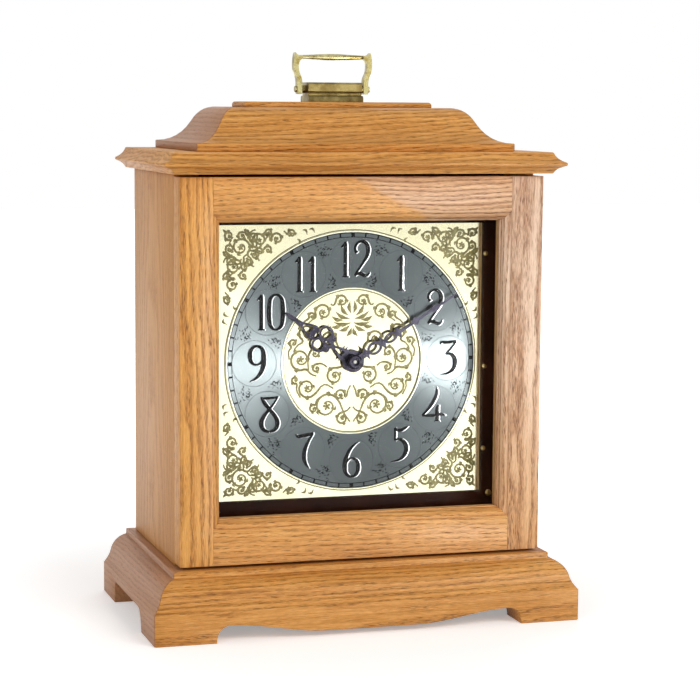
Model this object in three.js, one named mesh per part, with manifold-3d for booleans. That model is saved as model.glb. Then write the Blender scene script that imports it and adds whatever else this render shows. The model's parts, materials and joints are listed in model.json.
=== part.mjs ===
// A wooden bracket clock: a moulded plinth on scalloped bracket feet, a square case with a glazed
// door, an edge-moulded cornice board, a bell top with a folding brass handle, a square brass dial
// with a silvered chapter ring, and a battery movement with its gear train behind the dial.
// Lengths are in millimetres, +Z is up, the dial faces -Y, and the origin is under the middle.
import * as THREE from 'three';
import { mergeVertices } from 'three/addons/utils/BufferGeometryUtils.js';
import Module from 'manifold-3d';

const wasm = await Module();
wasm.setup();

// ---------- driving sizes ----------

// Case, seen as one block from the door face to the back edge of the sides.
const caseWidth = 270.8;
const caseDepth = 158.4;
const sideThickness = 18;
const sideHeight = 279.8;
const glueLine = 0.12; // between glued wooden pieces
const fitGap = 0.3; // between pieces that are only laid or screwed together

// Plinth: mitred ogee boards on bracket feet.
const plinthHeight = 48.4;
const plinthInset = 6; // how far the boards reach in under the sides
const landOverhang = 6.2;
const landHeight = 4.2;
const ovoloStep = 0.9;
const ovoloWidth = 11.7;
const ovoloHeight = 12.9;
const flareHeight = 8.4;
const footOverhang = 23.8;
const plinthBackOverhang = 7.5;
const plinthBackThickness = 18;
const deckThickness = 15;
const frontFootWidth = 45;
const sideFootWidth = 47;
const rearFootWidth = 44;
const footHeelHeight = 1.8; // upright part of the foot's inner edge
const frontArchRun = 11;
const frontArchHeight = 12.4;
const bellyHalfWidth = 34;
const bellyHeight = 4.4;
const shoulderSweep = 25; // how far the S runs level before it turns down
const bellySweep = 24; // and before it meets the belly
const shoulderDrop = 0.6;
const sideArchRun = 13;
const sideArchHeight = 16.5;
const rearArchRun = 6;

// Cornice board, moulded on the front and both ends.
const corniceHeight = 15.3;
const corniceFillet = 5.6;
const corniceNose = 13.7;
const corniceNoseRadius = 1.4;
const corniceNoseBelow = 6.9; // height of the nose above the board's underside
const corniceSquare = 0.7; // upright edge above and below the coves
const corniceBackOverhang = 6.6;

// Bell top: four mitred mouldings under a small top plate.
const bellInset = 17;
const bellSpread = 1; // how much nearer the bell's ends come to the sides than that
const bellDepth = 140;
const bellFilletHeight = 5.8;
const bellHeight = 31.2;
const bellCoveWidth = 22.5;
const bellCoveHeight = 14.8;
const bellCoveBend = 0.64; // of the cove's width
const bellRoundWidth = 13.5;
const bellRoundBend = 0.36; // of the round's width
const bellRoundDrop = 0.9; // of its bend below the land
const bellLandWidth = 17.5;
const bellLandThickness = 9;
const bellWallThickness = 16;
const topPlateMargin = 7.1; // how far the plate laps the bell's inner edge at its ends
const topPlateLap = 3; // and along its long edges
const topPlateHeight = 4;
const topPlateRound = 2.2;

// Carrying handle.
const handleFootLength = 42.2;
const handleFootDepth = 22;
const handleFootHeight = 4.6;
const handleBarLength = 41.4;
const handleBarDepth = 18;
const handleBarHeight = 9.8;
const handleBarRound = 1.6;
const handleWaist = 1.6; // depth of the groove between foot and bar
const handleBossRadius = 2.9;
const bailReach = 36.4; // top plate to the tips of the ears
const bailDepth = 6;
const bailThickness = 3.7;
const bailBow = 2.7; // how far the legs bow out
const bailSideGap = 2.7; // from the block's end to the leg, bridged by a boss
const bailFootDrop = 3.7; // pivot down to the leg's lower end
const bailUpright = 9; // lower end to where the leg starts to bow out
const bailBend = 14; // to the middle of that bend
const bailBowTop = 20; // to the upper end of it
const gripMiddleRadius = 2.4;
const gripEndRadius = 1.35;
const gripDrop = 3.3; // ears' tips down to the grip's axis
const handlePivotRadius = 1.5;
const handlePivotHeight = 9.4; // above the top plate
const handlePivotDepth = 7;
const pivotHeadRadius = 2.3;
const pivotHeadHeight = 1.1;
const pivotClearance = 0.25;

// Door frame and glass.
const doorThickness = 19;
const doorGap = 2.1; // above and below the door
const doorBackGap = 0.6;
const stileFace = 24;
const railFace = 25.9;
const stickingWidth = 6.2;
const stickingStep = 1.7;
const stickingLedge = 0.9;
const stickingDepth = 8.9;
const glassSetback = 11.3;
const glassThickness = 2;
const glassEdgeGap = 0.5;
const glassFaceGap = 0.15;
const beadWidth = 5.6;
const beadChamfer = 1.6;

// Front door hinges: butts let into the stile and the side.
const buttLength = 40;
const buttLeafWidth = 13;
const buttLeafThickness = 1.1;
const buttKnuckleRadius = 2.4;
const buttPinRadius = 1.1;
const buttPinSetOut = 3; // pin axis outside the case
const buttEndDistance = 42;
const leafGap = 0.4;
const mortiseGap = 0.15;

// Rear door and its flat hinges.
const rearDoorThickness = 10;
const rearDoorGap = 1;
const rearRailHeight = 25;
const rearRailThickness = 12;
const fingerNotchRadius = 9;
const fingerNotchDrop = 34;
const flatHingeLength = 30;
const flatLeafWidth = 13;
const flatLeafThickness = 1;
const flatKnuckleRadius = 1.8;
const flatPinRadius = 0.8;
const flatPinSetOut = 2.1;
const flatHingeEndDistance = 38;
const knuckleGap = 0.3;
const knuckleBoreClearance = 0.25;

// Turn button that holds the rear door shut, and the magnet that holds the front door.
const buttonLongEnd = 20;
const buttonShortEnd = 8;
const buttonWidth = 9;
const buttonThickness = 2.4;
const buttonBoreRadius = 1.9;
const magnetWidth = 11.6;
const magnetDepth = 11.6;
const magnetHeight = 34;
const magnetGap = 0.3;
const strikeThickness = 0.8;
const strikeWidth = 10;
const strikeHeight = 26;

// Dial.
const dialSize = 200;
const dialRise = 2.5; // dial centre above the middle of the door
const dialSetback = 31.4; // door face to dial face
const dialThickness = 1;
const dialBoardThickness = 6;
const cleatSize = 12;
const ringOuterRadius = 95.1;
const ringInnerRadius = 52.9;
const ringThickness = 0.7;
const ringRimWidth = 0.9;
const ringRimHeight = 1.1;

// Hands, set at ten past ten: degrees clockwise from twelve.
const minuteHandTurn = 58.5;
const hourHandTurn = 305.6;
const handThickness = 0.8;
const hourHandSetOut = 3.1; // dial face to the back of the hour hand
const minuteHandSetOut = 5.5;
const hourHandLength = 62.5;
const minuteHandLength = 92.5;
const hourPatternLength = 62.5; // the lengths that the outlines below are drawn for
const minutePatternLength = 92.5;
const hourBossRadius = 8.2;
const minuteBossRadius = 5.3;
const handNutRadius = 5.2;
const handNutHeight = 2.6;
const handNutRecess = 3.1;

// Movement: battery driven, held by a nut on its threaded bush.
const movementSize = 56;
const movementDepth = 16;
const movementWall = 1.4;
const coverThickness = 1.4;
const bushRadius = 4;
const bushWall = 1.2;
const bushStandOut = 2.6; // beyond the dial face
const bushHoleClearance = 0.3;
const movementNutFlats = 13;
const movementNutHeight = 2.2;
const hourPipeRadius = 2.45;
const hourPipeWall = 0.55;
const arborRadius = 1.6;
const arborTipRadius = 1.15;
const handBoreClearance = 0.12;
const spindleRadius = 0.8;
const runningClearance = 0.3;

// Motion work and train: the wheel and pinion of a pair share one centre distance.
const motionDistance = 12;
const cannonTeeth = 12;
const motionTeeth = 36;
const motionPinionTeeth = 10;
const hourTeeth = 40;
const knobTeeth = 12;
const thirdDistance = 11.2;
const centreTeeth = 48;
const thirdPinionTeeth = 8;
const thirdTeeth = 48;
const thirdModule = 0.3;
const motionBearing = 120; // degrees from +X round to +Z, seen from the front
const knobBearing = 180;
const thirdBearing = 30;
const wheelThickness = 1;
const layerGap = 0.6;
const toothTipHeight = 0.85; // in modules
const toothRootDepth = 1.2;
const toothTipShare = 0.42; // of half the pitch
const toothRootShare = 1.1;
const knobRadius = 5;
const knobHeight = 3;

// Battery, motor block and circuit board.
const batteryRadius = 7.1;
const batteryLength = 49.5;
const batteryCapRadius = 2.7;
const batteryCapLength = 1.3;
const bayClearance = 0.4;
const bayFloorCut = 0.4; // how far the bay is let into the front wall
const motorWidth = 7.4;
const motorHeight = 32;
const motorPlateDepth = 1.6;
const coilRadius = 3.3;
const coilLength = 16;
const boardWidth = 14;
const boardHeight = 12;
const boardThickness = 1.2;
const ledgeReach = 3;

// Round stretches.
const fineSegments = 88;
const roundSegments = 24;
const smallSegments = 16;

// ---------- sizes worked out from them ----------

const halfCase = caseWidth / 2;
const innerHalf = halfCase - sideThickness;
const doorFaceY = (footOverhang - caseDepth - plinthBackOverhang) / 2;
const caseBackY = doorFaceY + caseDepth;
const doorBackY = doorFaceY + doorThickness;
const sideFrontY = doorBackY + doorBackGap;
const plinthBackY = caseBackY + plinthBackOverhang;
const corniceBottomZ = plinthHeight + sideHeight;
const corniceTopZ = corniceBottomZ + corniceHeight;
const bellTopZ = corniceTopZ + bellHeight;
const topPlateTopZ = bellTopZ + topPlateHeight;
const bellFrontY = doorFaceY + bellInset;
const bellCentreY = bellFrontY + bellDepth / 2;
const bellInnerInset = bellInset + bellCoveWidth + bellRoundWidth + bellLandWidth;

const doorHeight = sideHeight - 2 * doorGap;
const doorCentreZ = plinthHeight + doorGap + doorHeight / 2;
const sightHalfWidth = halfCase - stileFace - stickingWidth;
const sightHalfHeight = doorHeight / 2 - railFace - stickingWidth;

const dialCentreZ = doorCentreZ + dialRise;
const dialFaceY = doorFaceY + dialSetback;
const dialBackY = dialFaceY + dialThickness;
const boardBackY = dialBackY + dialBoardThickness;
const stackDepth = dialThickness + dialBoardThickness; // dial face to the movement's front

const rearDoorFrontY = caseBackY - rearDoorThickness;
const rearRailBackY = rearDoorFrontY - fitGap;

// ---------- finishes ----------

const finish = (color, roughness, metalness = 0) => () =>
  new THREE.MeshStandardMaterial({ color, roughness, metalness });

const frontOak = finish(0xbd8646, 0.5);
const sideOak = finish(0xbf9468, 0.55);
const hiddenOak = finish(0xa87a48, 0.7);
const dialBoardBrown = finish(0x4b3322, 0.7);
const antiqueBrass = finish(0xb7a770, 0.38, 0.9);
const darkBrass = finish(0x6f6238, 0.5, 0.85);
const brightBrass = finish(0xcdb063, 0.3, 0.95);
const dialBrass = finish(0xe0d9a8, 0.3, 0.6);
const silverRing = finish(0x8f9599, 0.35, 0.7);
const blackSteel = finish(0x1b1a1c, 0.45, 0.5);
const steel = finish(0xa9adb1, 0.35, 0.9);
const blackPlastic = finish(0x26272a, 0.55);
const whiteNylon = finish(0xe4e2da, 0.5);
const greenBoard = finish(0x2f6b45, 0.6);
const copperCoil = finish(0xa8552b, 0.45, 0.6);
const batteryJacket = finish(0x3a3d42, 0.4, 0.3);
const clearGlass = () =>
  new THREE.MeshStandardMaterial({
    color: 0xdfe7e6,
    roughness: 0.05,
    metalness: 0,
    transparent: true,
    opacity: 0.25,
  });

// ---------- ways of making a solid ----------

function solidOf(geometry) {
  const bare = geometry.index ? geometry.toNonIndexed() : geometry.clone();
  bare.deleteAttribute('normal');
  bare.deleteAttribute('uv');
  const merged = mergeVertices(bare, 1e-4);
  return new wasm.Manifold(
    new wasm.Mesh({
      numProp: 3,
      vertProperties: new Float32Array(merged.getAttribute('position').array),
      triVerts: new Uint32Array(merged.index.array),
    }),
  );
}

function geometryOf(solid) {
  const mesh = solid.getMesh();
  const geometry = new THREE.BufferGeometry();
  geometry.setAttribute('position', new THREE.BufferAttribute(mesh.vertProperties, 3));
  geometry.setIndex(new THREE.BufferAttribute(mesh.triVerts, 1));
  geometry.computeVertexNormals();
  return geometry;
}

const joined = (...geometries) =>
  geometryOf(geometries.map(solidOf).reduce((whole, next) => whole.add(next)));

const cutFrom = (geometry, ...cutters) =>
  geometryOf(cutters.map(solidOf).reduce((whole, next) => whole.subtract(next), solidOf(geometry)));

// A rectangular block between two limits on each axis.
function block([x0, x1], [y0, y1], [z0, z1]) {
  return new THREE.BoxGeometry(x1 - x0, y1 - y0, z1 - z0).translate(
    (x0 + x1) / 2,
    (y0 + y1) / 2,
    (z0 + z1) / 2,
  );
}

// A cylinder lying along Y, between two depths.
function roundAlongY(radius, [y0, y1], x = 0, z = 0, segments = smallSegments) {
  return new THREE.CylinderGeometry(radius, radius, y1 - y0, segments).translate(x, (y0 + y1) / 2, z);
}

// A cylinder lying along X, between two limits.
function roundAlongX(radius, [x0, x1], y = 0, z = 0, segments = smallSegments) {
  return new THREE.CylinderGeometry(radius, radius, x1 - x0, segments)
    .rotateZ(Math.PI / 2)
    .translate((x0 + x1) / 2, y, z);
}

// A cylinder standing along Z, between two heights.
function roundAlongZ(radius, [z0, z1], x = 0, y = 0, segments = smallSegments) {
  return new THREE.CylinderGeometry(radius, radius, z1 - z0, segments)
    .rotateX(Math.PI / 2)
    .translate(x, y, (z0 + z1) / 2);
}

// A flat outline drawn in X and Z, made into a plate between two depths.
function plateXZ(shape, [y0, y1], curveSegments = 12) {
  return new THREE.ExtrudeGeometry(shape, { depth: y1 - y0, bevelEnabled: false, curveSegments })
    .rotateX(Math.PI / 2)
    .translate(0, y1, 0);
}

// A section drawn in Y and Z, made into a bar along X about the middle.
function barAlongX(section, length, curveSegments = 8) {
  const swap = new THREE.Matrix4().makeBasis(
    new THREE.Vector3(0, 1, 0),
    new THREE.Vector3(0, 0, 1),
    new THREE.Vector3(1, 0, 0),
  );
  return new THREE.ExtrudeGeometry(section, { depth: length, bevelEnabled: false, curveSegments })
    .applyMatrix4(swap)
    .translate(-length / 2, 0, 0);
}

// A board cut from a moulding. The profile holds (overhang, height) points. The board runs along X
// from one reach to the other with its face towards -Y, and a mitred end grows with the overhang.
function mouldedBoard(profile, [from, to], { mitreFrom = true, mitreTo = true, segments = 8 } = {}) {
  const geometry = new THREE.ExtrudeGeometry(profile, {
    depth: 1,
    bevelEnabled: false,
    curveSegments: segments,
  });
  const position = geometry.getAttribute('position');
  for (let i = 0; i < position.count; i += 1) {
    const overhang = position.getX(i);
    const height = position.getY(i);
    const atFarEnd = position.getZ(i) < 0.5;
    const mitred = atFarEnd ? mitreTo : mitreFrom;
    const growth = mitred ? overhang - glueLine / 2 : 0;
    position.setXYZ(i, atFarEnd ? to + growth : from - growth, -overhang, height);
  }
  geometry.computeVertexNormals();
  return geometry;
}

// The same board turned to face left (-X) or right (+X), given its reach from front to back.
const facingLeft = (profile, [front, back], { mitreFront = true, mitreBack = true, ...rest } = {}) =>
  mouldedBoard(profile, [-back, -front], { mitreFrom: mitreBack, mitreTo: mitreFront, ...rest }).rotateZ(
    -Math.PI / 2,
  );

const facingRight = (profile, [front, back], { mitreFront = true, mitreBack = true, ...rest } = {}) =>
  mouldedBoard(profile, [front, back], { mitreFrom: mitreFront, mitreTo: mitreBack, ...rest }).rotateZ(
    Math.PI / 2,
  );

// A board whose edge carries a moulding: each (overhang, height) point of the edge gives one
// rectangle, and the rectangles are skinned from the lowest to the highest.
function edgedBoard(edge, { halfWidth, front, back, backMoulded = true }) {
  const points = edge.getPoints(6);
  const corners = points.flatMap(({ x: out, y: z }) => {
    const far = backMoulded ? back + out : back;
    return [-halfWidth - out, front - out, z, halfWidth + out, front - out, z].concat([
      halfWidth + out, far, z, -halfWidth - out, far, z,
    ]);
  });
  const faces = [0, 2, 1, 0, 3, 2];
  for (let ring = 0; ring + 1 < points.length; ring += 1) {
    for (let side = 0; side < 4; side += 1) {
      const a = ring * 4 + side;
      const b = ring * 4 + ((side + 1) % 4);
      faces.push(a, b, b + 4, a, b + 4, a + 4);
    }
  }
  const top = (points.length - 1) * 4;
  faces.push(top, top + 1, top + 2, top, top + 2, top + 3);
  const geometry = new THREE.BufferGeometry();
  geometry.setAttribute('position', new THREE.Float32BufferAttribute(corners, 3));
  geometry.setIndex(faces);
  geometry.computeVertexNormals();
  return geometry;
}

// A turned piece: a closed run of (radius, forward) points spun about a Y axis.
function turnedAlongY(points, segments = roundSegments) {
  const profile = points.map(([radius, forward]) => new THREE.Vector2(radius, forward));
  return new THREE.LatheGeometry(profile, segments).rotateX(Math.PI);
}

const radians = (degrees) => (degrees * Math.PI) / 180;

const clock = new THREE.Group();

function addPiece(group, name, geometry, material) {
  const mesh = new THREE.Mesh(geometry, material());
  mesh.name = name;
  group.add(mesh);
  return mesh;
}

function addGroup(parent, x, y, z) {
  const group = new THREE.Group();
  group.position.set(x, y, z);
  parent.add(group);
  return group;
}

// ---------- plinth ----------

function plinthProfile() {
  const roundTop = plinthHeight - landHeight;
  const roundEnd = landOverhang + ovoloStep + ovoloWidth;
  const flareTop = roundTop - ovoloHeight;
  const profile = new THREE.Shape();
  profile.moveTo(-plinthInset, 0);
  profile.lineTo(footOverhang, 0);
  profile.lineTo(footOverhang, flareTop - flareHeight);
  profile.quadraticCurveTo(roundEnd + 1, flareTop - 0.45 * flareHeight, roundEnd, flareTop);
  profile.quadraticCurveTo(
    roundEnd - 0.18 * ovoloWidth,
    roundTop - 0.22 * ovoloHeight,
    landOverhang + ovoloStep,
    roundTop,
  );
  profile.lineTo(landOverhang, roundTop);
  profile.lineTo(landOverhang, plinthHeight);
  profile.lineTo(-plinthInset, plinthHeight);
  return profile;
}

// The front arch: up each foot in a quarter round, then down in an S to a shallow belly.
function frontArch(halfSpan) {
  const shoulder = halfSpan - frontArchRun;
  const arch = new THREE.Shape();
  arch.moveTo(-halfSpan, -1);
  arch.lineTo(halfSpan, -1);
  arch.lineTo(halfSpan, footHeelHeight);
  arch.quadraticCurveTo(halfSpan - 1, frontArchHeight, shoulder, frontArchHeight);
  const turnX = shoulder - shoulderSweep;
  const turnZ = frontArchHeight - shoulderDrop;
  const sweepX = bellyHalfWidth + bellySweep;
  arch.bezierCurveTo(turnX, turnZ, sweepX, bellyHeight, bellyHalfWidth, bellyHeight);
  arch.lineTo(-bellyHalfWidth, bellyHeight);
  arch.bezierCurveTo(-sweepX, bellyHeight, -turnX, turnZ, -shoulder, frontArchHeight);
  arch.quadraticCurveTo(-halfSpan + 1, frontArchHeight, -halfSpan, footHeelHeight);
  return arch;
}

// A side arch between the front foot and the rear foot, along the board.
function sideArch(frontEdge, rearEdge, towardsFront) {
  const arch = new THREE.Shape();
  const along = (y) => y * towardsFront;
  arch.moveTo(along(frontEdge), -1);
  arch.lineTo(along(frontEdge), footHeelHeight);
  arch.quadraticCurveTo(
    along(frontEdge + 2),
    sideArchHeight,
    along(frontEdge + sideArchRun),
    sideArchHeight,
  );
  arch.lineTo(along(rearEdge - rearArchRun), sideArchHeight);
  arch.quadraticCurveTo(along(rearEdge), sideArchHeight, along(rearEdge), sideArchHeight - rearArchRun);
  arch.lineTo(along(rearEdge), -1);
  return arch;
}

function addPlinth() {
  const profile = plinthProfile();
  const throughBoard = [-footOverhang - 1, plinthInset + 1];
  const front = cutFrom(
    mouldedBoard(profile, [-halfCase, halfCase]),
    plateXZ(frontArch(halfCase + footOverhang - frontFootWidth), throughBoard, 10),
  );
  addPiece(clock, 'plinth_front', front.translate(0, doorFaceY, 0), frontOak);

  const frontFootEdge = doorFaceY - footOverhang + sideFootWidth;
  const rearFootEdge = plinthBackY - rearFootWidth;
  const squareBack = { mitreBack: false };
  const cutAlongLeft = plateXZ(sideArch(frontFootEdge, rearFootEdge, -1), throughBoard, 8);
  const cutAlongRight = plateXZ(sideArch(frontFootEdge, rearFootEdge, 1), throughBoard, 8);
  const left = cutFrom(
    facingLeft(profile, [doorFaceY, plinthBackY], squareBack),
    cutAlongLeft.rotateZ(-Math.PI / 2),
  );
  const right = cutFrom(
    facingRight(profile, [doorFaceY, plinthBackY], squareBack),
    cutAlongRight.rotateZ(Math.PI / 2),
  );
  addPiece(clock, 'plinth_left', left.translate(-halfCase, 0, 0), sideOak);
  addPiece(clock, 'plinth_right', right.translate(halfCase, 0, 0), sideOak);

  const insideHalf = halfCase - plinthInset - glueLine;
  const backFrontY = plinthBackY - plinthBackThickness;
  addPiece(
    clock,
    'plinth_back',
    block([-insideHalf, insideHalf], [backFrontY, plinthBackY], [sideArchHeight, plinthHeight]),
    sideOak,
  );
  addPiece(
    clock,
    'base_deck',
    block(
      [-insideHalf, insideHalf],
      [doorFaceY + plinthInset + glueLine, backFrontY - glueLine],
      [plinthHeight - deckThickness, plinthHeight],
    ),
    hiddenOak,
  );
}

// ---------- case ----------

// Middle heights of the two hinges of the front door and of the rear door.
const buttHeights = [
  doorCentreZ + doorHeight / 2 - buttEndDistance,
  doorCentreZ - doorHeight / 2 + buttEndDistance,
];
const flatHingeHeights = [
  corniceBottomZ - flatHingeEndDistance,
  plinthHeight + flatHingeEndDistance,
];
const buttAxis = { x: halfCase + buttPinSetOut, y: doorBackY + doorBackGap / 2 };
const flatAxis = { x: -innerHalf + rearDoorGap / 2, y: caseBackY + flatPinSetOut };

// The pocket that a butt leaf is let into, cut from the face on one side of the gap.
function buttMortise(middleZ, depthRange) {
  const reach = buttPinSetOut + buttLeafWidth + mortiseGap;
  const half = buttLength / 2 + mortiseGap;
  return block([buttAxis.x - reach, buttAxis.x], depthRange, [middleZ - half, middleZ + half]);
}

function addCase() {
  const height = [plinthHeight, corniceBottomZ];
  const depth = [sideFrontY, caseBackY];
  const mortiseDepth = leafGap / 2 + buttLeafThickness + mortiseGap;
  const leftSide = block([-halfCase, -innerHalf], depth, height);
  const rightSide = cutFrom(
    block([innerHalf, halfCase], depth, height),
    ...buttHeights.map((z) => buttMortise(z, [buttAxis.y, buttAxis.y + mortiseDepth])),
  );
  addPiece(clock, 'side_left', leftSide, sideOak);
  addPiece(clock, 'side_right', rightSide, sideOak);

  const railDepth = [rearRailBackY - rearRailThickness, rearRailBackY];
  const railHalf = innerHalf - glueLine;
  const topRail = [corniceBottomZ - rearRailHeight, corniceBottomZ];
  const bottomRail = [plinthHeight, plinthHeight + rearRailHeight];
  addPiece(clock, 'rear_rail_top', block([-railHalf, railHalf], railDepth, topRail), hiddenOak);
  addPiece(clock, 'rear_rail_bottom', block([-railHalf, railHalf], railDepth, bottomRail), hiddenOak);
}

// The cornice edge: a wedge of two shallow coves that meet in a half-round nose.
function corniceEdge() {
  const noseZ = corniceBottomZ + corniceNoseBelow;
  const noseStart = corniceNose - corniceNoseRadius;
  const coveStart = corniceFillet + 0.3;
  const coveBottom = corniceBottomZ + corniceSquare;
  const coveTop = corniceTopZ - corniceSquare;
  const bend = 0.25; // of the way out to the nose
  const bendX = coveStart + bend * (noseStart - coveStart);
  const bendLow = noseZ - corniceNoseRadius - 0.35 * (noseZ - corniceNoseRadius - coveBottom);
  const bendHigh = noseZ + corniceNoseRadius + 0.35 * (coveTop - noseZ - corniceNoseRadius);
  const edge = new THREE.Path();
  edge.moveTo(corniceFillet, corniceBottomZ);
  edge.lineTo(coveStart, coveBottom);
  edge.quadraticCurveTo(bendX, bendLow, noseStart, noseZ - corniceNoseRadius);
  edge.absarc(noseStart, noseZ, corniceNoseRadius, -Math.PI / 2.2, Math.PI / 2.2, false);
  edge.lineTo(noseStart, noseZ + corniceNoseRadius);
  edge.quadraticCurveTo(bendX, bendHigh, coveStart, coveTop);
  edge.lineTo(corniceFillet, corniceTopZ);
  return edge;
}

function addCornice() {
  const board = edgedBoard(corniceEdge(), {
    halfWidth: halfCase,
    front: doorFaceY,
    back: caseBackY + corniceBackOverhang,
    backMoulded: false,
  });
  addPiece(clock, 'cornice_board', board, frontOak);
}

// ---------- bell top ----------

// The bell's section, with insets as negative overhangs: a fillet, a cove, a round and a flat land
// outside, and a wall of even thickness inside.
function bellProfile() {
  const foot = corniceTopZ;
  const filletTop = foot + bellFilletHeight;
  const coveEndX = -bellInset - bellCoveWidth;
  const coveEndZ = filletTop + bellCoveHeight;
  const landX = coveEndX - bellRoundWidth;
  const innerX = -bellInnerInset;
  const profile = new THREE.Shape();
  profile.moveTo(-bellInset, foot);
  profile.lineTo(-bellInset, filletTop);
  profile.lineTo(-bellInset - 0.8, filletTop);
  profile.quadraticCurveTo(-bellInset - bellCoveBend * bellCoveWidth, filletTop, coveEndX, coveEndZ);
  profile.quadraticCurveTo(
    coveEndX - bellRoundBend * bellRoundWidth,
    bellTopZ - bellRoundDrop,
    landX,
    bellTopZ,
  );
  profile.lineTo(innerX, bellTopZ);
  profile.lineTo(innerX, bellTopZ - bellLandThickness);
  profile.lineTo(landX + 1, bellTopZ - bellLandThickness);
  profile.lineTo(-bellInset - bellWallThickness - 3, foot);
  return profile;
}

function topPlateEdge() {
  const edge = new THREE.Path();
  edge.moveTo(0, bellTopZ);
  edge.lineTo(0, topPlateTopZ - topPlateRound);
  edge.absarc(-topPlateRound, topPlateTopZ - topPlateRound, topPlateRound, 0.25, Math.PI / 2, false);
  return edge;
}

// The bell's opening, and the plate that laps it.
const bellHalfSpan = halfCase + bellSpread; // where an overhang of nothing would be
const plateHalfWidth = halfCase - bellInnerInset + topPlateMargin;
const plateFrontY = doorFaceY + bellInnerInset - topPlateLap;
const plateBackY = 2 * bellCentreY - plateFrontY;

function addBell() {
  const profile = bellProfile();
  const virtualBack = bellFrontY + bellDepth + bellInset;
  const width = [-bellHalfSpan, bellHalfSpan];
  const depth = [doorFaceY, virtualBack];
  const shortRun = { segments: 6 };
  const front = mouldedBoard(profile, width, shortRun).translate(0, doorFaceY, 0);
  const back = mouldedBoard(profile, width, shortRun).rotateZ(Math.PI).translate(0, virtualBack, 0);
  const left = facingLeft(profile, depth, shortRun).translate(-bellHalfSpan, 0, 0);
  const right = facingRight(profile, depth, shortRun).translate(bellHalfSpan, 0, 0);
  addPiece(clock, 'bell_front', front, frontOak);
  addPiece(clock, 'bell_left', left, sideOak);
  addPiece(clock, 'bell_right', right, sideOak);
  addPiece(clock, 'bell_back', back, frontOak);

  const plate = edgedBoard(topPlateEdge(), {
    halfWidth: plateHalfWidth,
    front: plateFrontY,
    back: plateBackY,
  });
  addPiece(clock, 'top_plate', plate, frontOak);
}

// ---------- carrying handle ----------

// The block's sections: a foot with rounded shoulders, and a bar on a narrow waist above it.
function handleBlockSections() {
  const halfFoot = handleFootDepth / 2;
  const footRound = 0.55 * handleFootHeight;
  const foot = new THREE.Shape();
  foot.moveTo(-halfFoot, 0);
  foot.lineTo(halfFoot, 0);
  foot.lineTo(halfFoot, handleFootHeight - footRound);
  foot.quadraticCurveTo(halfFoot, handleFootHeight, halfFoot - footRound, handleFootHeight);
  foot.lineTo(footRound - halfFoot, handleFootHeight);
  foot.quadraticCurveTo(-halfFoot, handleFootHeight, -halfFoot, handleFootHeight - footRound);

  const halfBar = handleBarDepth / 2;
  const top = handleFootHeight + handleBarHeight;
  const waistTop = handleFootHeight + 2 * handleWaist;
  const bar = new THREE.Shape();
  const waistX = halfBar - handleWaist;
  bar.moveTo(-waistX, handleFootHeight - 0.5);
  bar.lineTo(waistX, handleFootHeight - 0.5);
  bar.lineTo(waistX, handleFootHeight + 0.3);
  bar.quadraticCurveTo(waistX + 0.2, waistTop - 0.4, halfBar, waistTop);
  bar.lineTo(halfBar, top - handleBarRound);
  bar.quadraticCurveTo(halfBar, top, halfBar - handleBarRound, top);
  bar.lineTo(handleBarRound - halfBar, top);
  bar.quadraticCurveTo(-halfBar, top, -halfBar, top - handleBarRound);
  bar.lineTo(-halfBar, waistTop);
  bar.quadraticCurveTo(-waistX - 0.2, waistTop - 0.4, -waistX, handleFootHeight + 0.3);
  return { foot, bar };
}

// One leg of the bail, seen from the front: upright at the pivot, bowing out, and ending in a
// pointed ear above the grip.
function bailLeg(side, innerX) {
  const low = handlePivotHeight - bailFootDrop;
  const straightTop = low + bailUpright;
  const bendZ = low + bailBend;
  const bowedTop = low + bailBowTop;
  const outer = bailThickness + bailBow;
  const gripTop = bailReach - gripDrop + gripEndRadius;
  const gripBottom = bailReach - gripDrop - gripEndRadius;
  const x = (value) => side * (innerX + value);
  const leg = new THREE.Shape();
  leg.moveTo(x(0), low);
  leg.lineTo(x(bailThickness - 0.6), low);
  leg.lineTo(x(bailThickness), low + 1);
  leg.lineTo(x(bailThickness), straightTop);
  leg.bezierCurveTo(x(bailThickness), bendZ, x(outer), bendZ, x(outer), bowedTop + 1);
  leg.quadraticCurveTo(x(outer), bailReach - 2.6, x(outer - 1.3), bailReach);
  leg.quadraticCurveTo(x(outer - 2.4), bailReach - 2.2, x(bailBow - 1.2), gripTop);
  leg.lineTo(x(bailBow - 3), gripTop - 0.2);
  leg.lineTo(x(bailBow - 3), gripBottom);
  leg.quadraticCurveTo(x(bailBow + 0.2), gripBottom - 1, x(bailBow), bowedTop);
  leg.bezierCurveTo(x(bailBow), bendZ, x(0), bendZ, x(0), straightTop);
  return leg;
}

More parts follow.
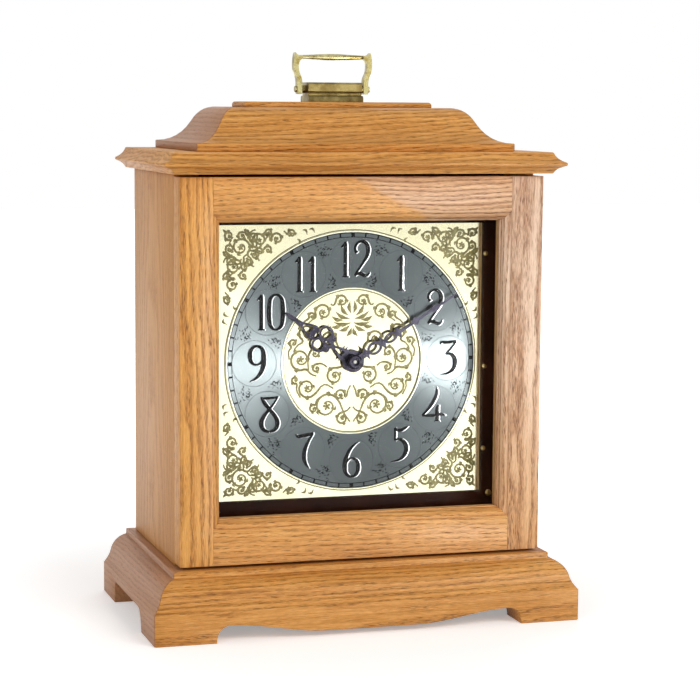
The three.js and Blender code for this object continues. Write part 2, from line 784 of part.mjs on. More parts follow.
function addHandle() {
  const handle = addGroup(clock, 0, bellCentreY, topPlateTopZ);
  const { foot, bar } = handleBlockSections();
  const legInnerX = handleFootLength / 2 + bailSideGap;
  const bossEnd = legInnerX - pivotClearance;
  const boreStart = handleBarLength / 2 - handlePivotDepth - pivotClearance;
  const alongSide = (side, near, far) => [side * near, side * far].sort((a, b) => a - b);
  const bores = [-1, 1].map((side) =>
    roundAlongX(
      handlePivotRadius + pivotClearance,
      alongSide(side, boreStart, bossEnd + 1),
      0,
      handlePivotHeight,
    ),
  );
  const bosses = roundAlongX(handleBossRadius, [-bossEnd, bossEnd], 0, handlePivotHeight);
  const blockSolid = cutFrom(
    joined(barAlongX(foot, handleFootLength, 4), barAlongX(bar, handleBarLength, 6), bosses),
    ...bores,
  );
  addPiece(handle, 'handle_block', blockSolid, darkBrass);

  const gripZ = bailReach - gripDrop;
  const gripHalf = legInnerX + bailBow + 1;
  const steps = 12;
  const gripPoints = [new THREE.Vector2(0, -gripHalf)];
  for (let i = 0; i <= steps; i += 1) {
    const along = (2 * i) / steps - 1;
    const swell = (gripMiddleRadius - gripEndRadius) * 0.5 * (1 + Math.cos(Math.PI * along));
    gripPoints.push(new THREE.Vector2(gripEndRadius + swell, along * gripHalf));
  }
  gripPoints.push(new THREE.Vector2(0, gripHalf));
  const grip = new THREE.LatheGeometry(gripPoints, 12).rotateZ(-Math.PI / 2).translate(0, 0, gripZ);
  const legDepth = [-bailDepth / 2, bailDepth / 2];
  const legs = [-1, 1].map((side) => plateXZ(bailLeg(side, legInnerX), legDepth, 6));
  const legEnd = legInnerX + bailThickness;
  const eyeRadius = handlePivotRadius + pivotClearance;
  const eye = roundAlongX(eyeRadius, [-legEnd - 1, legEnd + 1], 0, handlePivotHeight);
  addPiece(handle, 'handle_bail', cutFrom(joined(...legs, grip), eye), antiqueBrass);

  const pivotStart = handleBarLength / 2 - handlePivotDepth;
  const headStart = legEnd + pivotClearance;
  [['handle_pivot_left', -1], ['handle_pivot_right', 1]].forEach(([name, side]) => {
    const shank = alongSide(side, pivotStart, headStart + 0.2);
    const head = alongSide(side, headStart, headStart + pivotHeadHeight);
    const pivot = joined(
      roundAlongX(handlePivotRadius, shank, 0, handlePivotHeight),
      roundAlongX(pivotHeadRadius, head, 0, handlePivotHeight),
    );
    addPiece(handle, name, pivot, antiqueBrass);
  });
}

// ---------- front door ----------

// The moulded inner edge of the frame, as (distance from the glass opening, height) where height
// is measured forward from the back of the rebate.
function stickingProfile() {
  const lip = 0;
  const frontFace = glassSetback;
  const overlap = stickingWidth + 1;
  const profile = new THREE.Shape();
  profile.moveTo(0, lip);
  profile.lineTo(0, frontFace - stickingDepth);
  profile.lineTo(0.7, frontFace - stickingDepth);
  profile.quadraticCurveTo(
    1.1,
    frontFace - stickingStep - 0.6,
    stickingWidth - stickingLedge,
    frontFace - stickingStep,
  );
  profile.lineTo(stickingWidth - 0.1, frontFace - stickingStep);
  profile.lineTo(stickingWidth, frontFace);
  profile.lineTo(overlap, frontFace);
  profile.lineTo(overlap, lip);
  return profile;
}

// A strip that lines one side of an opening: its section points are (distance out from the
// opening's edge, distance forward), it faces -Y, and it is mitred at both ends.
function openingStrip(profile, halfLength, halfSpan, { segments = 6 } = {}) {
  const geometry = new THREE.ExtrudeGeometry(profile, {
    depth: 1,
    bevelEnabled: false,
    curveSegments: segments,
  });
  const position = geometry.getAttribute('position');
  for (let i = 0; i < position.count; i += 1) {
    const out = position.getX(i);
    const forward = position.getY(i);
    const reach = halfLength + Math.min(out, stickingWidth) - glueLine;
    position.setXYZ(i, position.getZ(i) < 0.5 ? -reach : reach, -forward, halfSpan + out);
  }
  geometry.computeVertexNormals();
  return geometry;
}

// The four sides of an opening: turns of the strip about the door's middle.
const quarterTurns = { top: 0, left: -Math.PI / 2, bottom: Math.PI, right: Math.PI / 2 };

function frameStrip(profile, side, options) {
  const upright = side === 'left' || side === 'right';
  const halfLength = upright ? sightHalfHeight : sightHalfWidth;
  const halfSpan = upright ? sightHalfWidth : sightHalfHeight;
  return openingStrip(profile, halfLength, halfSpan, options).rotateY(quarterTurns[side]);
}

function addDoor() {
  const door = addGroup(clock, 0, doorFaceY, doorCentreZ);
  const depth = [0, doorThickness];
  const sticking = stickingProfile();
  const frameInner = sightHalfWidth + stickingWidth;
  const railEnd = frameInner - glueLine;
  const railInner = sightHalfHeight + stickingWidth;
  const mortiseDepth = leafGap / 2 + buttLeafThickness + mortiseGap;
  const moulding = (side) => frameStrip(sticking, side).translate(0, glassSetback, 0);
  const upright = [-doorHeight / 2, doorHeight / 2];

  const leftStile = joined(block([-halfCase, -frameInner], depth, upright), moulding('left'));
  const mortises = buttHeights.map((z) =>
    buttMortise(z, [buttAxis.y - mortiseDepth, buttAxis.y]).translate(0, -doorFaceY, -doorCentreZ),
  );
  const rightStile = cutFrom(
    joined(block([frameInner, halfCase], depth, upright), moulding('right')),
    ...mortises,
  );
  const topRail = joined(
    block([-railEnd, railEnd], depth, [railInner, doorHeight / 2]),
    moulding('top'),
  );
  const bottomRail = joined(
    block([-railEnd, railEnd], depth, [-doorHeight / 2, -railInner]),
    moulding('bottom'),
  );
  addPiece(door, 'door_stile_left', leftStile, frontOak);
  addPiece(door, 'door_stile_right', rightStile, frontOak);
  addPiece(door, 'door_rail_top', topRail, frontOak);
  addPiece(door, 'door_rail_bottom', bottomRail, frontOak);

  const glassX = sightHalfWidth + stickingWidth - glassEdgeGap;
  const glassZ = sightHalfHeight + stickingWidth - glassEdgeGap;
  const glassFront = glassSetback + glassFaceGap;
  const glassBack = glassFront + glassThickness;
  addPiece(
    door,
    'door_glass',
    block([-glassX, glassX], [glassFront, glassBack], [-glassZ, glassZ]),
    clearGlass,
  );

  const beadForward = doorThickness - glassBack - glassFaceGap;
  const beadStart = stickingWidth - fitGap - beadWidth;
  const bead = new THREE.Shape([
    new THREE.Vector2(beadStart + beadChamfer, 0),
    new THREE.Vector2(beadStart + beadWidth, 0),
    new THREE.Vector2(beadStart + beadWidth, beadForward),
    new THREE.Vector2(beadStart, beadForward),
    new THREE.Vector2(beadStart, beadChamfer),
  ]);
  Object.keys(quarterTurns).forEach((side) => {
    const strip = frameStrip(bead, side).translate(0, doorThickness, 0);
    addPiece(door, `glass_bead_${side}`, strip, hiddenOak);
  });
}

// ---------- hinges ----------

// One leaf of a hinge, about a pin standing on the group's own origin. The leaf reaches out to
// one side, and carries its own knuckles on the pin.
function hingeLeaf({ side, reach, faces, length, knuckles, knuckleRadius, bore, pin }) {
  const clear = knuckleRadius + knuckleGap;
  const span = (near, far) => [side * near, side * far].sort((a, b) => a - b);
  const leaf = block(span(clear, reach), faces, [-length / 2, length / 2]);
  const parts = knuckles.flatMap(([low, high]) => [
    block(span(0, clear + 0.1), faces, [low, high]),
    roundAlongZ(knuckleRadius, [low, high]),
  ]);
  const whole = joined(leaf, ...parts);
  if (pin) {
    return joined(whole, roundAlongZ(pin, [-length / 2, length / 2]));
  }
  return cutFrom(whole, roundAlongZ(bore, [-length, length]));
}

// The fixed leaf holds the pin and the outer knuckles, and the moving leaf the middle one.
function addHinge(prefix, names, axis, z, size, sides, faces) {
  const hinge = addGroup(clock, axis.x, axis.y, z);
  const third = (size.length - 2 * knuckleGap) / 3;
  const middle = [[-third / 2, third / 2]];
  const outer = [
    [-size.length / 2, -third / 2 - knuckleGap],
    [third / 2 + knuckleGap, size.length / 2],
  ];
  const common = { length: size.length, reach: size.reach, knuckleRadius: size.knuckleRadius };
  const fixedLeaf = hingeLeaf({
    ...common,
    side: sides.fixed,
    faces: faces.fixed,
    knuckles: outer,
    pin: size.pinRadius,
  });
  const movingLeaf = hingeLeaf({
    ...common,
    side: sides.moving,
    faces: faces.moving,
    knuckles: middle,
    bore: size.pinRadius + knuckleBoreClearance,
  });
  addPiece(hinge, `${prefix}_${names[0]}`, fixedLeaf, brightBrass);
  addPiece(hinge, `${prefix}_${names[1]}`, movingLeaf, brightBrass);
}

function addHinges() {
  const butt = {
    length: buttLength,
    reach: buttPinSetOut + buttLeafWidth,
    knuckleRadius: buttKnuckleRadius,
    pinRadius: buttPinRadius,
  };
  const buttFaces = {
    fixed: [leafGap / 2, leafGap / 2 + buttLeafThickness],
    moving: [-leafGap / 2 - buttLeafThickness, -leafGap / 2],
  };
  const flat = {
    length: flatHingeLength,
    reach: flatKnuckleRadius + knuckleGap + flatLeafWidth,
    knuckleRadius: flatKnuckleRadius,
    pinRadius: flatPinRadius,
  };
  const flatFace = [-flatPinSetOut, -flatPinSetOut + flatLeafThickness];
  const flatFaces = { fixed: flatFace, moving: flatFace };
  ['upper', 'lower'].forEach((level, index) => {
    addHinge(`door_hinge_${level}`, ['case_leaf', 'door_leaf'], buttAxis, buttHeights[index], butt,
      { fixed: -1, moving: -1 }, buttFaces);
    addHinge(`rear_hinge_${level}`, ['case_leaf', 'door_leaf'], flatAxis, flatHingeHeights[index], flat,
      { fixed: -1, moving: 1 }, flatFaces);
  });
}

// ---------- rear door, turn button and door magnet ----------

function addRearDoor() {
  const half = innerHalf - rearDoorGap;
  const low = plinthHeight + rearDoorGap;
  const high = corniceBottomZ - rearDoorGap;
  const notchZ = doorCentreZ - fingerNotchDrop;
  const throughDoor = [rearDoorFrontY - 1, caseBackY + 1];
  const notch = roundAlongY(fingerNotchRadius, throughDoor, half, notchZ, roundSegments);
  const panel = cutFrom(block([-half, half], [rearDoorFrontY, caseBackY], [low, high]), notch);
  addPiece(clock, 'rear_door', panel, hiddenOak);

  const button = new THREE.Shape();
  const halfWidth = buttonWidth / 2;
  button.absarc(0, 0, halfWidth, Math.PI, 0, false);
  button.lineTo(halfWidth, buttonShortEnd - halfWidth);
  button.lineTo(0.6 * halfWidth, buttonLongEnd - 2);
  button.quadraticCurveTo(0.5 * halfWidth, buttonLongEnd, 0, buttonLongEnd);
  button.quadraticCurveTo(-0.5 * halfWidth, buttonLongEnd, -0.6 * halfWidth, buttonLongEnd - 2);
  button.lineTo(-halfWidth, buttonShortEnd - halfWidth);
  const bore = new THREE.Path();
  bore.absarc(0, 0, buttonBoreRadius, 0, 2 * Math.PI, true);
  button.holes.push(bore);
  const group = addGroup(clock, innerHalf + sideThickness / 2, caseBackY + fitGap, doorCentreZ);
  addPiece(group, 'turn_button', plateXZ(button, [0, buttonThickness], 6), brightBrass);
}

function addDoorMagnet() {
  const magnetFront = doorBackY + strikeThickness + magnetGap;
  const magnetX = [-innerHalf, -innerHalf + magnetWidth];
  const magnetZ = [doorCentreZ - magnetHeight / 2, doorCentreZ + magnetHeight / 2];
  addPiece(
    clock,
    'door_magnet',
    block(magnetX, [magnetFront, magnetFront + magnetDepth], magnetZ),
    blackPlastic,
  );
  const strikeX = [-innerHalf + 0.8, -innerHalf + 0.8 + strikeWidth];
  const strikeZ = [doorCentreZ - strikeHeight / 2, doorCentreZ + strikeHeight / 2];
  addPiece(
    clock,
    'door_strike',
    block(strikeX, [doorBackY, doorBackY + strikeThickness], strikeZ),
    steel,
  );
}

// ---------- dial ----------

function addDial() {
  const dial = addGroup(clock, 0, dialFaceY, dialCentreZ);
  const holeRadius = bushRadius + bushHoleClearance;
  const half = dialSize / 2;
  const plate = cutFrom(
    block([-half, half], [0, dialThickness], [-half, half]),
    roundAlongY(holeRadius, [-1, dialThickness + 1]),
  );
  addPiece(dial, 'dial_plate', plate, dialBrass);

  const ring = turnedAlongY(
    [
      [ringInnerRadius, 0],
      [ringOuterRadius, 0],
      [ringOuterRadius, ringRimHeight],
      [ringOuterRadius - ringRimWidth, ringRimHeight],
      [ringOuterRadius - ringRimWidth, ringThickness],
      [ringInnerRadius + ringRimWidth, ringThickness],
      [ringInnerRadius + ringRimWidth, ringRimHeight],
      [ringInnerRadius, ringRimHeight],
      [ringInnerRadius, 0],
    ],
    fineSegments,
  );
  addPiece(dial, 'chapter_ring', ring, silverRing);

  const boardHalf = innerHalf - fitGap;
  const boardLow = plinthHeight - dialCentreZ;
  const boardHigh = corniceBottomZ - fitGap - dialCentreZ;
  const board = cutFrom(
    block([-boardHalf, boardHalf], [dialThickness, stackDepth], [boardLow, boardHigh]),
    roundAlongY(holeRadius, [0, stackDepth + 1]),
  );
  addPiece(dial, 'dial_board', board, dialBoardBrown);

  const cleatDepth = [boardBackY, boardBackY + cleatSize];
  const cleatZ = [plinthHeight, corniceBottomZ - fitGap];
  const leftCleat = block([-innerHalf, -innerHalf + cleatSize], cleatDepth, cleatZ);
  const rightCleat = block([innerHalf - cleatSize, innerHalf], cleatDepth, cleatZ);
  addPiece(clock, 'dial_cleat_left', leftCleat, hiddenOak);
  addPiece(clock, 'dial_cleat_right', rightCleat, hiddenOak);
}

// ---------- hands ----------

// The parts of a pierced hand that points up (+Z), as shapes of (across, along) about the boss.
function ovalShape([across, along, halfWidth, halfLength]) {
  const shape = new THREE.Shape();
  shape.absellipse(across, along, halfWidth, halfLength, 0, 2 * Math.PI, false);
  return shape;
}

// A shape that is the same on both sides, from (along, half width) points at the boss end first.
function evenShape(points) {
  const right = points.map(([along, half]) => new THREE.Vector2(half, along));
  const left = points.map(([along, half]) => new THREE.Vector2(-half, along)).reverse();
  return new THREE.Shape([...right, ...left]);
}

// A pointed leaf with hollow sides, lying across the hand.
function leafShape([along, reach, halfLength]) {
  const shape = new THREE.Shape();
  const bend = 0.4;
  shape.moveTo(0, along - halfLength);
  shape.quadraticCurveTo(bend * reach, along - bend * halfLength, reach, along);
  shape.quadraticCurveTo(bend * reach, along + bend * halfLength, 0, along + halfLength);
  shape.quadraticCurveTo(-bend * reach, along + bend * halfLength, -reach, along);
  shape.quadraticCurveTo(-bend * reach, along - bend * halfLength, 0, along - halfLength);
  return shape;
}

const hourSolidOvals = [
  [0, 0, hourBossRadius, hourBossRadius],
  [5, 28.8, 5.5, 5.7],
  [-5, 28.8, 5.5, 5.7],
  [4.4, 22.6, 2.7, 2.6],
  [-4.4, 22.6, 2.7, 2.6],
  [0, 36.4, 5.2, 3.1],
];
const hourLeaves = [[9.8, 6.4, 2.4], [29.2, 11.8, 3.2], [37.6, 6.2, 2.6]];
const hourNeck = [[6, 4.6], [10, 4.3], [14, 2.9], [17.2, 1.5], [19.2, 1.7], [21.5, 3.8], [25, 4]];
const hourSpade = [
  [36.5, 5.1],
  [39, 5.4],
  [42, 4.3],
  [46, 2.5],
  [49, 1.75],
  [60, 1.1],
  [hourPatternLength, 0.7],
];
const hourOvalHoles = [[5, 29, 3.7, 3.9], [-5, 29, 3.7, 3.9], [0, 22.8, 1, 1.4], [0, 34.2, 2.7, 1.3]];
const hourPointedHoles = [
  [[9.6, 2], [13.5, 1.3], [17, 0.3]],
  [[39.6, 3.7], [43, 2.3], [47, 0.5]],
];

const minuteSolidOvals = [
  [0, 0, minuteBossRadius, minuteBossRadius],
  [0, 18.2, 4.7, 6],
  [0, 32.6, 3.7, 5.8],
];
const minuteLeaves = [
  [11, 5.4, 2.2],
  [25.4, 5.8, 2.8],
  [39.4, 5, 3.4],
  [55, 3.2, 5.6],
  [72.5, 2.7, 7.5],
];
const minuteShaft = [
  [4, 2.4],
  [13, 1.9],
  [40, 1.5],
  [46, 1.2],
  [60, 0.95],
  [80, 0.75],
  [minutePatternLength, 0.6],
];
const minuteOvalHoles = [[0, 18.2, 2.9, 4.1], [0, 32.7, 2, 3.7]];

// The flat hand: its shapes joined, its holes cut, and a round bore through the boss.
function piercedHand({ ovals, leaves, spines, ovalHoles, pointedHoles, boreRadius, back, stretch }) {
  const depth = [back - handThickness, back];
  const through = [depth[0] - 1, depth[1] + 1];
  const solids = [...ovals.map(ovalShape), ...leaves.map(leafShape), ...spines.map(evenShape)];
  const holes = [...ovalHoles.map(ovalShape), ...pointedHoles.map(evenShape)];
  const solidPlates = solids.map((shape) => plateXZ(shape, depth, 10).scale(stretch, 1, stretch));
  const holePlates = holes.map((shape) => plateXZ(shape, through, 8).scale(stretch, 1, stretch));
  return cutFrom(joined(...solidPlates), ...holePlates, roundAlongY(boreRadius, through));
}

function addHands() {
  const dial = addGroup(clock, 0, dialFaceY, dialCentreZ);
  const hourHand = piercedHand({
    ovals: hourSolidOvals,
    leaves: hourLeaves,
    spines: [hourNeck, hourSpade],
    ovalHoles: hourOvalHoles,
    pointedHoles: hourPointedHoles,
    boreRadius: hourPipeRadius + handBoreClearance,
    back: -hourHandSetOut,
    stretch: hourHandLength / hourPatternLength,
  });
  addPiece(dial, 'hour_hand', hourHand, blackSteel).rotation.y = radians(hourHandTurn);

  const minuteHand = piercedHand({
    ovals: minuteSolidOvals,
    leaves: minuteLeaves,
    spines: [minuteShaft],
    ovalHoles: minuteOvalHoles,
    pointedHoles: [],
    boreRadius: arborTipRadius + handBoreClearance,
    back: -minuteHandSetOut,
    stretch: minuteHandLength / minutePatternLength,
  });
  addPiece(dial, 'minute_hand', minuteHand, blackSteel).rotation.y = radians(minuteHandTurn);

  const nutBore = arborTipRadius + handBoreClearance;
  const nutBack = minuteHandSetOut + handThickness + handBoreClearance;
  const nutFront = nutBack + handNutHeight;
  const nut = turnedAlongY([
    [nutBore, nutBack],
    [handNutRadius - 0.4, nutBack],
    [handNutRadius, nutBack + 0.5],
    [handNutRadius, nutFront - 1],
    [handNutRadius - 1, nutFront],
    [handNutRecess, nutFront],
    [handNutRecess, nutBack + 1],
    [nutBore, nutBack + 1],
    [nutBore, nutBack],
  ]);
  addPiece(dial, 'hand_nut', nut, blackSteel);
}

// ---------- gear train ----------

// A wheel drawn in X and Z with straight-flanked teeth, its first tooth at the phase angle.
function gearShape(teeth, module, phase) {
  const pitch = (module * teeth) / 2;
  const tip = pitch + toothTipHeight * module;
  const root = pitch - toothRootDepth * module;
  const half = Math.PI / (2 * teeth);
  const corners = [
    [root, -toothRootShare],
    [tip, -toothTipShare],
    [tip, toothTipShare],
    [root, toothRootShare],
  ];
  const points = [];
  for (let tooth = 0; tooth < teeth; tooth += 1) {
    const middle = phase + (tooth * 2 * Math.PI) / teeth;
    corners.forEach(([radius, share]) => {
      const angle = middle + share * half;
      points.push(new THREE.Vector2(radius * Math.cos(angle), radius * Math.sin(angle)));
    });
  }
  return new THREE.Shape(points);
}

const gear = (teeth, module, phase, depth) => plateXZ(gearShape(teeth, module, phase), depth);

// The phase that sets a gear in mesh with a driver that lies in the opposite direction.
function meshedPhase(driverTeeth, driverPhase, bearing, teeth) {
  const driverPitch = (2 * Math.PI) / driverTeeth;
  const offset = (bearing - driverPhase) / driverPitch;
  const lead = (offset - Math.round(offset)) * driverPitch;
  return bearing + Math.PI + (lead * driverTeeth) / teeth + Math.PI / teeth;
}

const offsetBy = (distance, bearing) => ({
  x: distance * Math.cos(radians(bearing)),
  z: distance * Math.sin(radians(bearing)),
});

const motionModule = (2 * motionDistance) / (cannonTeeth + motionTeeth);
const hourModule = (2 * motionDistance) / (motionPinionTeeth + hourTeeth);
const centreModule = (2 * thirdDistance) / (centreTeeth + thirdPinionTeeth);
const motionAt = offsetBy(motionDistance, motionBearing);
const knobOffset = offsetBy(motionDistance, knobBearing);
const knobAt = { x: motionAt.x + knobOffset.x, z: motionAt.z + knobOffset.z };
const thirdAt = offsetBy(thirdDistance, thirdBearing);

// Depths behind the movement's front face, layer by layer.
const hourWheelDepth = [movementWall + layerGap, movementWall + layerGap + wheelThickness];
const motionWheelDepth = [hourWheelDepth[1] + layerGap, hourWheelDepth[1] + layerGap + wheelThickness];
const centreWheelDepth = [
  motionWheelDepth[1] + 2 * layerGap,
  motionWheelDepth[1] + 2 * layerGap + wheelThickness,
];
const thirdWheelDepth = [
  centreWheelDepth[1] + layerGap,
  centreWheelDepth[1] + layerGap + wheelThickness,
];
const upperDepth = thirdWheelDepth[1] + layerGap; // where the board and the motor sit
const coverFront = movementDepth - coverThickness;

function addTrain(movement) {
  const toMotion = radians(motionBearing);
  const cannonPhase = toMotion;
  const motionPhase = meshedPhase(cannonTeeth, cannonPhase, toMotion, motionTeeth);
  const motionPinionPhase = toMotion + Math.PI;
  const hourPhase = meshedPhase(motionPinionTeeth, motionPinionPhase, toMotion + Math.PI, hourTeeth);
  const knobPhase = meshedPhase(motionTeeth, motionPhase, radians(knobBearing), knobTeeth);
  const toThird = radians(thirdBearing);
  const thirdPhase = meshedPhase(centreTeeth, toThird, toThird, thirdPinionTeeth);

  // Minute arbor: cannon pinion, centre wheel, and the long front end that carries the hand.
  const handSeat = -(stackDepth + minuteHandSetOut - handBoreClearance);
  const tipEnd = handSeat - handThickness - handNutHeight + 0.4;
  const shaft = [handSeat, coverFront - runningClearance];
  const arbor = joined(
    roundAlongY(arborRadius, shaft),
    roundAlongY(arborTipRadius, [tipEnd, handSeat + 1]),
    gear(cannonTeeth, motionModule, cannonPhase, [motionWheelDepth[0] - 0.2, centreWheelDepth[0] + 0.1]),
    gear(centreTeeth, centreModule, toThird, centreWheelDepth),
  );
  addPiece(movement, 'minute_arbor', arbor, whiteNylon);

  // Hour wheel with the long pipe that carries the hour hand.
  const pipeFront = -(stackDepth + hourHandSetOut + handThickness + 0.6);
  const hourWheel = cutFrom(
    joined(
      gear(hourTeeth, hourModule, hourPhase, hourWheelDepth),
      roundAlongY(hourPipeRadius, [pipeFront, hourWheelDepth[1]]),
    ),
    roundAlongY(hourPipeRadius - hourPipeWall, [pipeFront - 1, hourWheelDepth[1] + 1]),
  );
  addPiece(movement, 'hour_wheel', hourWheel, whiteNylon);

  // Motion wheel and third wheel turn on fixed spindles.
  const spindleBore = spindleRadius + runningClearance;
  const motion = cutFrom(
    joined(
      gear(motionPinionTeeth, hourModule, motionPinionPhase, [hourWheelDepth[0], motionWheelDepth[0] + 0.1]),
      gear(motionTeeth, motionModule, motionPhase, motionWheelDepth),
    ),
    roundAlongY(spindleBore, [0, movementDepth]),
  );
  addPiece(movement, 'motion_wheel', motion, whiteNylon).position.set(motionAt.x, 0, motionAt.z);

  const third = cutFrom(
    joined(
      gear(thirdPinionTeeth, centreModule, thirdPhase, [centreWheelDepth[0] - 0.2, thirdWheelDepth[0] + 0.1]),
      gear(thirdTeeth, thirdModule, 0, thirdWheelDepth),
    ),
    roundAlongY(spindleBore - 0.1, [0, movementDepth]),
  );
  addPiece(movement, 'third_wheel', third, whiteNylon).position.set(thirdAt.x, 0, thirdAt.z);

  const knobDepth = [movementDepth + runningClearance, movementDepth + knobHeight];
  const knob = joined(
    gear(knobTeeth, motionModule, knobPhase, [motionWheelDepth[0] - 0.2, motionWheelDepth[1] + 0.4]),
    roundAlongY(arborRadius, [motionWheelDepth[1], movementDepth + knobHeight - 0.5]),
    roundAlongY(spindleRadius, [movementWall + 0.3, motionWheelDepth[1]]),
    roundAlongY(knobRadius, knobDepth, 0, 0, roundSegments),
  );
  addPiece(movement, 'set_knob', knob, blackPlastic).position.set(knobAt.x, 0, knobAt.z);
}

// ---------- movement ----------

const halfMovement = movementSize / 2;
const cavityHalf = halfMovement - movementWall;
const bayHeight = 2 * (batteryRadius + bayClearance);
const bayBottom = -cavityHalf;
const bayTop = bayBottom + bayHeight;
const trainBottom = bayTop + movementWall;
const batteryAxisY = batteryRadius + bayClearance + movementWall - bayFloorCut;
const motorX = [cavityHalf - motorWidth - fitGap, cavityHalf - fitGap];
const motorBottom = trainBottom + 1;
const circuitX = [-cavityHalf + fitGap, -cavityHalf + fitGap + boardWidth];
const circuitBottom = trainBottom + fitGap;

function addMovementCase(movement) {
  const outer = block([-halfMovement, halfMovement], [0, coverFront], [-halfMovement, halfMovement]);
  const bayWalls = block(
    [-halfMovement, halfMovement],
    [coverFront - 1, movementDepth],
    [-halfMovement, trainBottom - fitGap],
  );
  const trainCavity = block(
    [-cavityHalf, cavityHalf],
    [movementWall, coverFront + 1],
    [trainBottom, cavityHalf],
  );
  const bayDepth = [movementWall - bayFloorCut, movementDepth + 1];
  const batteryBay = block([-cavityHalf, cavityHalf], bayDepth, [bayBottom, bayTop]);
  const bush = roundAlongY(bushRadius, [-(stackDepth + bushStandOut), 1], 0, 0, roundSegments);
  const bushBore = roundAlongY(
    bushRadius - bushWall,
    [-(stackDepth + bushStandOut) - 1, movementWall + 1],
    0,
    0,
    roundSegments,
  );
  const ledgeDepth = [movementWall - 0.1, upperDepth - 0.15];
  const circuitLedge = block(
    [-cavityHalf - 0.1, -cavityHalf + ledgeReach],
    ledgeDepth,
    [trainBottom - 0.1, trainBottom + 5],
  );
  const motorLedge = block(
    [cavityHalf - ledgeReach, cavityHalf + 0.1],
    ledgeDepth,
    [trainBottom - 0.1, trainBottom + 5],
  );
  const spindleDepth = [movementWall - 0.1, motionWheelDepth[1] + 0.5];
  const motionSpindle = roundAlongY(spindleRadius, spindleDepth, motionAt.x, motionAt.z);
  const knobSocket = cutFrom(
    roundAlongY(spindleRadius + 1.2, [movementWall - 0.1, hourWheelDepth[1]], knobAt.x, knobAt.z),
    roundAlongY(spindleRadius + runningClearance, [movementWall, movementDepth], knobAt.x, knobAt.z),
  );
  const shell = cutFrom(joined(outer, bayWalls), trainCavity, batteryBay);
  const fitted = cutFrom(joined(shell, bush), bushBore);
  const whole = joined(fitted, circuitLedge, motorLedge, motionSpindle, knobSocket);
  addPiece(movement, 'movement_case', whole, blackPlastic);

  // The cover carries the third wheel's spindle, a socket for the minute arbor, and the knob hole.
  const coverPlate = block(
    [-halfMovement, halfMovement],
    [coverFront + fitGap / 2, movementDepth],
    [trainBottom, halfMovement],
  );
  const arborSocket = roundAlongY(arborRadius + 1.5, [upperDepth, coverFront + 0.5]);
  const thirdDepth = [centreWheelDepth[0] - 0.6, coverFront + 0.5];
  const thirdSpindle = roundAlongY(spindleRadius - 0.1, thirdDepth, thirdAt.x, thirdAt.z);
  const cover = cutFrom(
    joined(coverPlate, arborSocket, thirdSpindle),
    roundAlongY(arborRadius + runningClearance, [0, coverFront + fitGap / 2]),
    roundAlongY(arborRadius + runningClearance, [0, movementDepth + 1], knobAt.x, knobAt.z),
  );
  addPiece(movement, 'movement_cover', cover, blackPlastic);
}

function addMovementContents(movement) {
  const nutRadius = movementNutFlats / 2 / Math.cos(Math.PI / 6);
  const nutFront = -(stackDepth + movementNutHeight);
  const nut = cutFrom(
    roundAlongY(nutRadius, [nutFront, -stackDepth], 0, 0, 6),
    roundAlongY(bushRadius + handBoreClearance, [nutFront - 1, 0], 0, 0, roundSegments),
  );
  addPiece(movement, 'movement_nut', nut, brightBrass);

  const batteryZ = bayBottom + bayHeight / 2;
  const half = batteryLength / 2;
  const cell = joined(
    roundAlongX(batteryRadius, [-half, half - batteryCapLength], batteryAxisY, batteryZ, roundSegments),
    roundAlongX(batteryCapRadius, [half - batteryCapLength - 0.5, half], batteryAxisY, batteryZ),
  );
  addPiece(movement, 'battery', cell, batteryJacket);

  const motorMiddleX = (motorX[0] + motorX[1]) / 2;
  const motorTop = motorBottom + motorHeight;
  const coilY = upperDepth + motorPlateDepth / 2;
  const motor = joined(
    block(motorX, [upperDepth, upperDepth + motorPlateDepth], [motorBottom, motorTop]),
    roundAlongZ(coilRadius, [motorTop - coilLength - 4, motorTop - 4], motorMiddleX, coilY),
  );
  addPiece(movement, 'step_motor', motor, copperCoil);

  addPiece(
    movement,
    'circuit_board',
    block(circuitX, [upperDepth, upperDepth + boardThickness], [circuitBottom, circuitBottom + boardHeight]),
    greenBoard,
  );
}

// ---------- the whole clock ----------

addPlinth();
addCase();
addCornice();
addBell();
addHandle();
addDoor();
addHinges();
addRearDoor();
addDoorMagnet();
addDial();
addHands();
const movementGroup = addGroup(clock, 0, boardBackY, dialCentreZ);
addTrain(movementGroup);
addMovementCase(movementGroup);
addMovementContents(movementGroup);

export default clock;
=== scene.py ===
import json
import random
from math import cos, pi, radians, sin

import bpy
from mathutils import Matrix, Vector

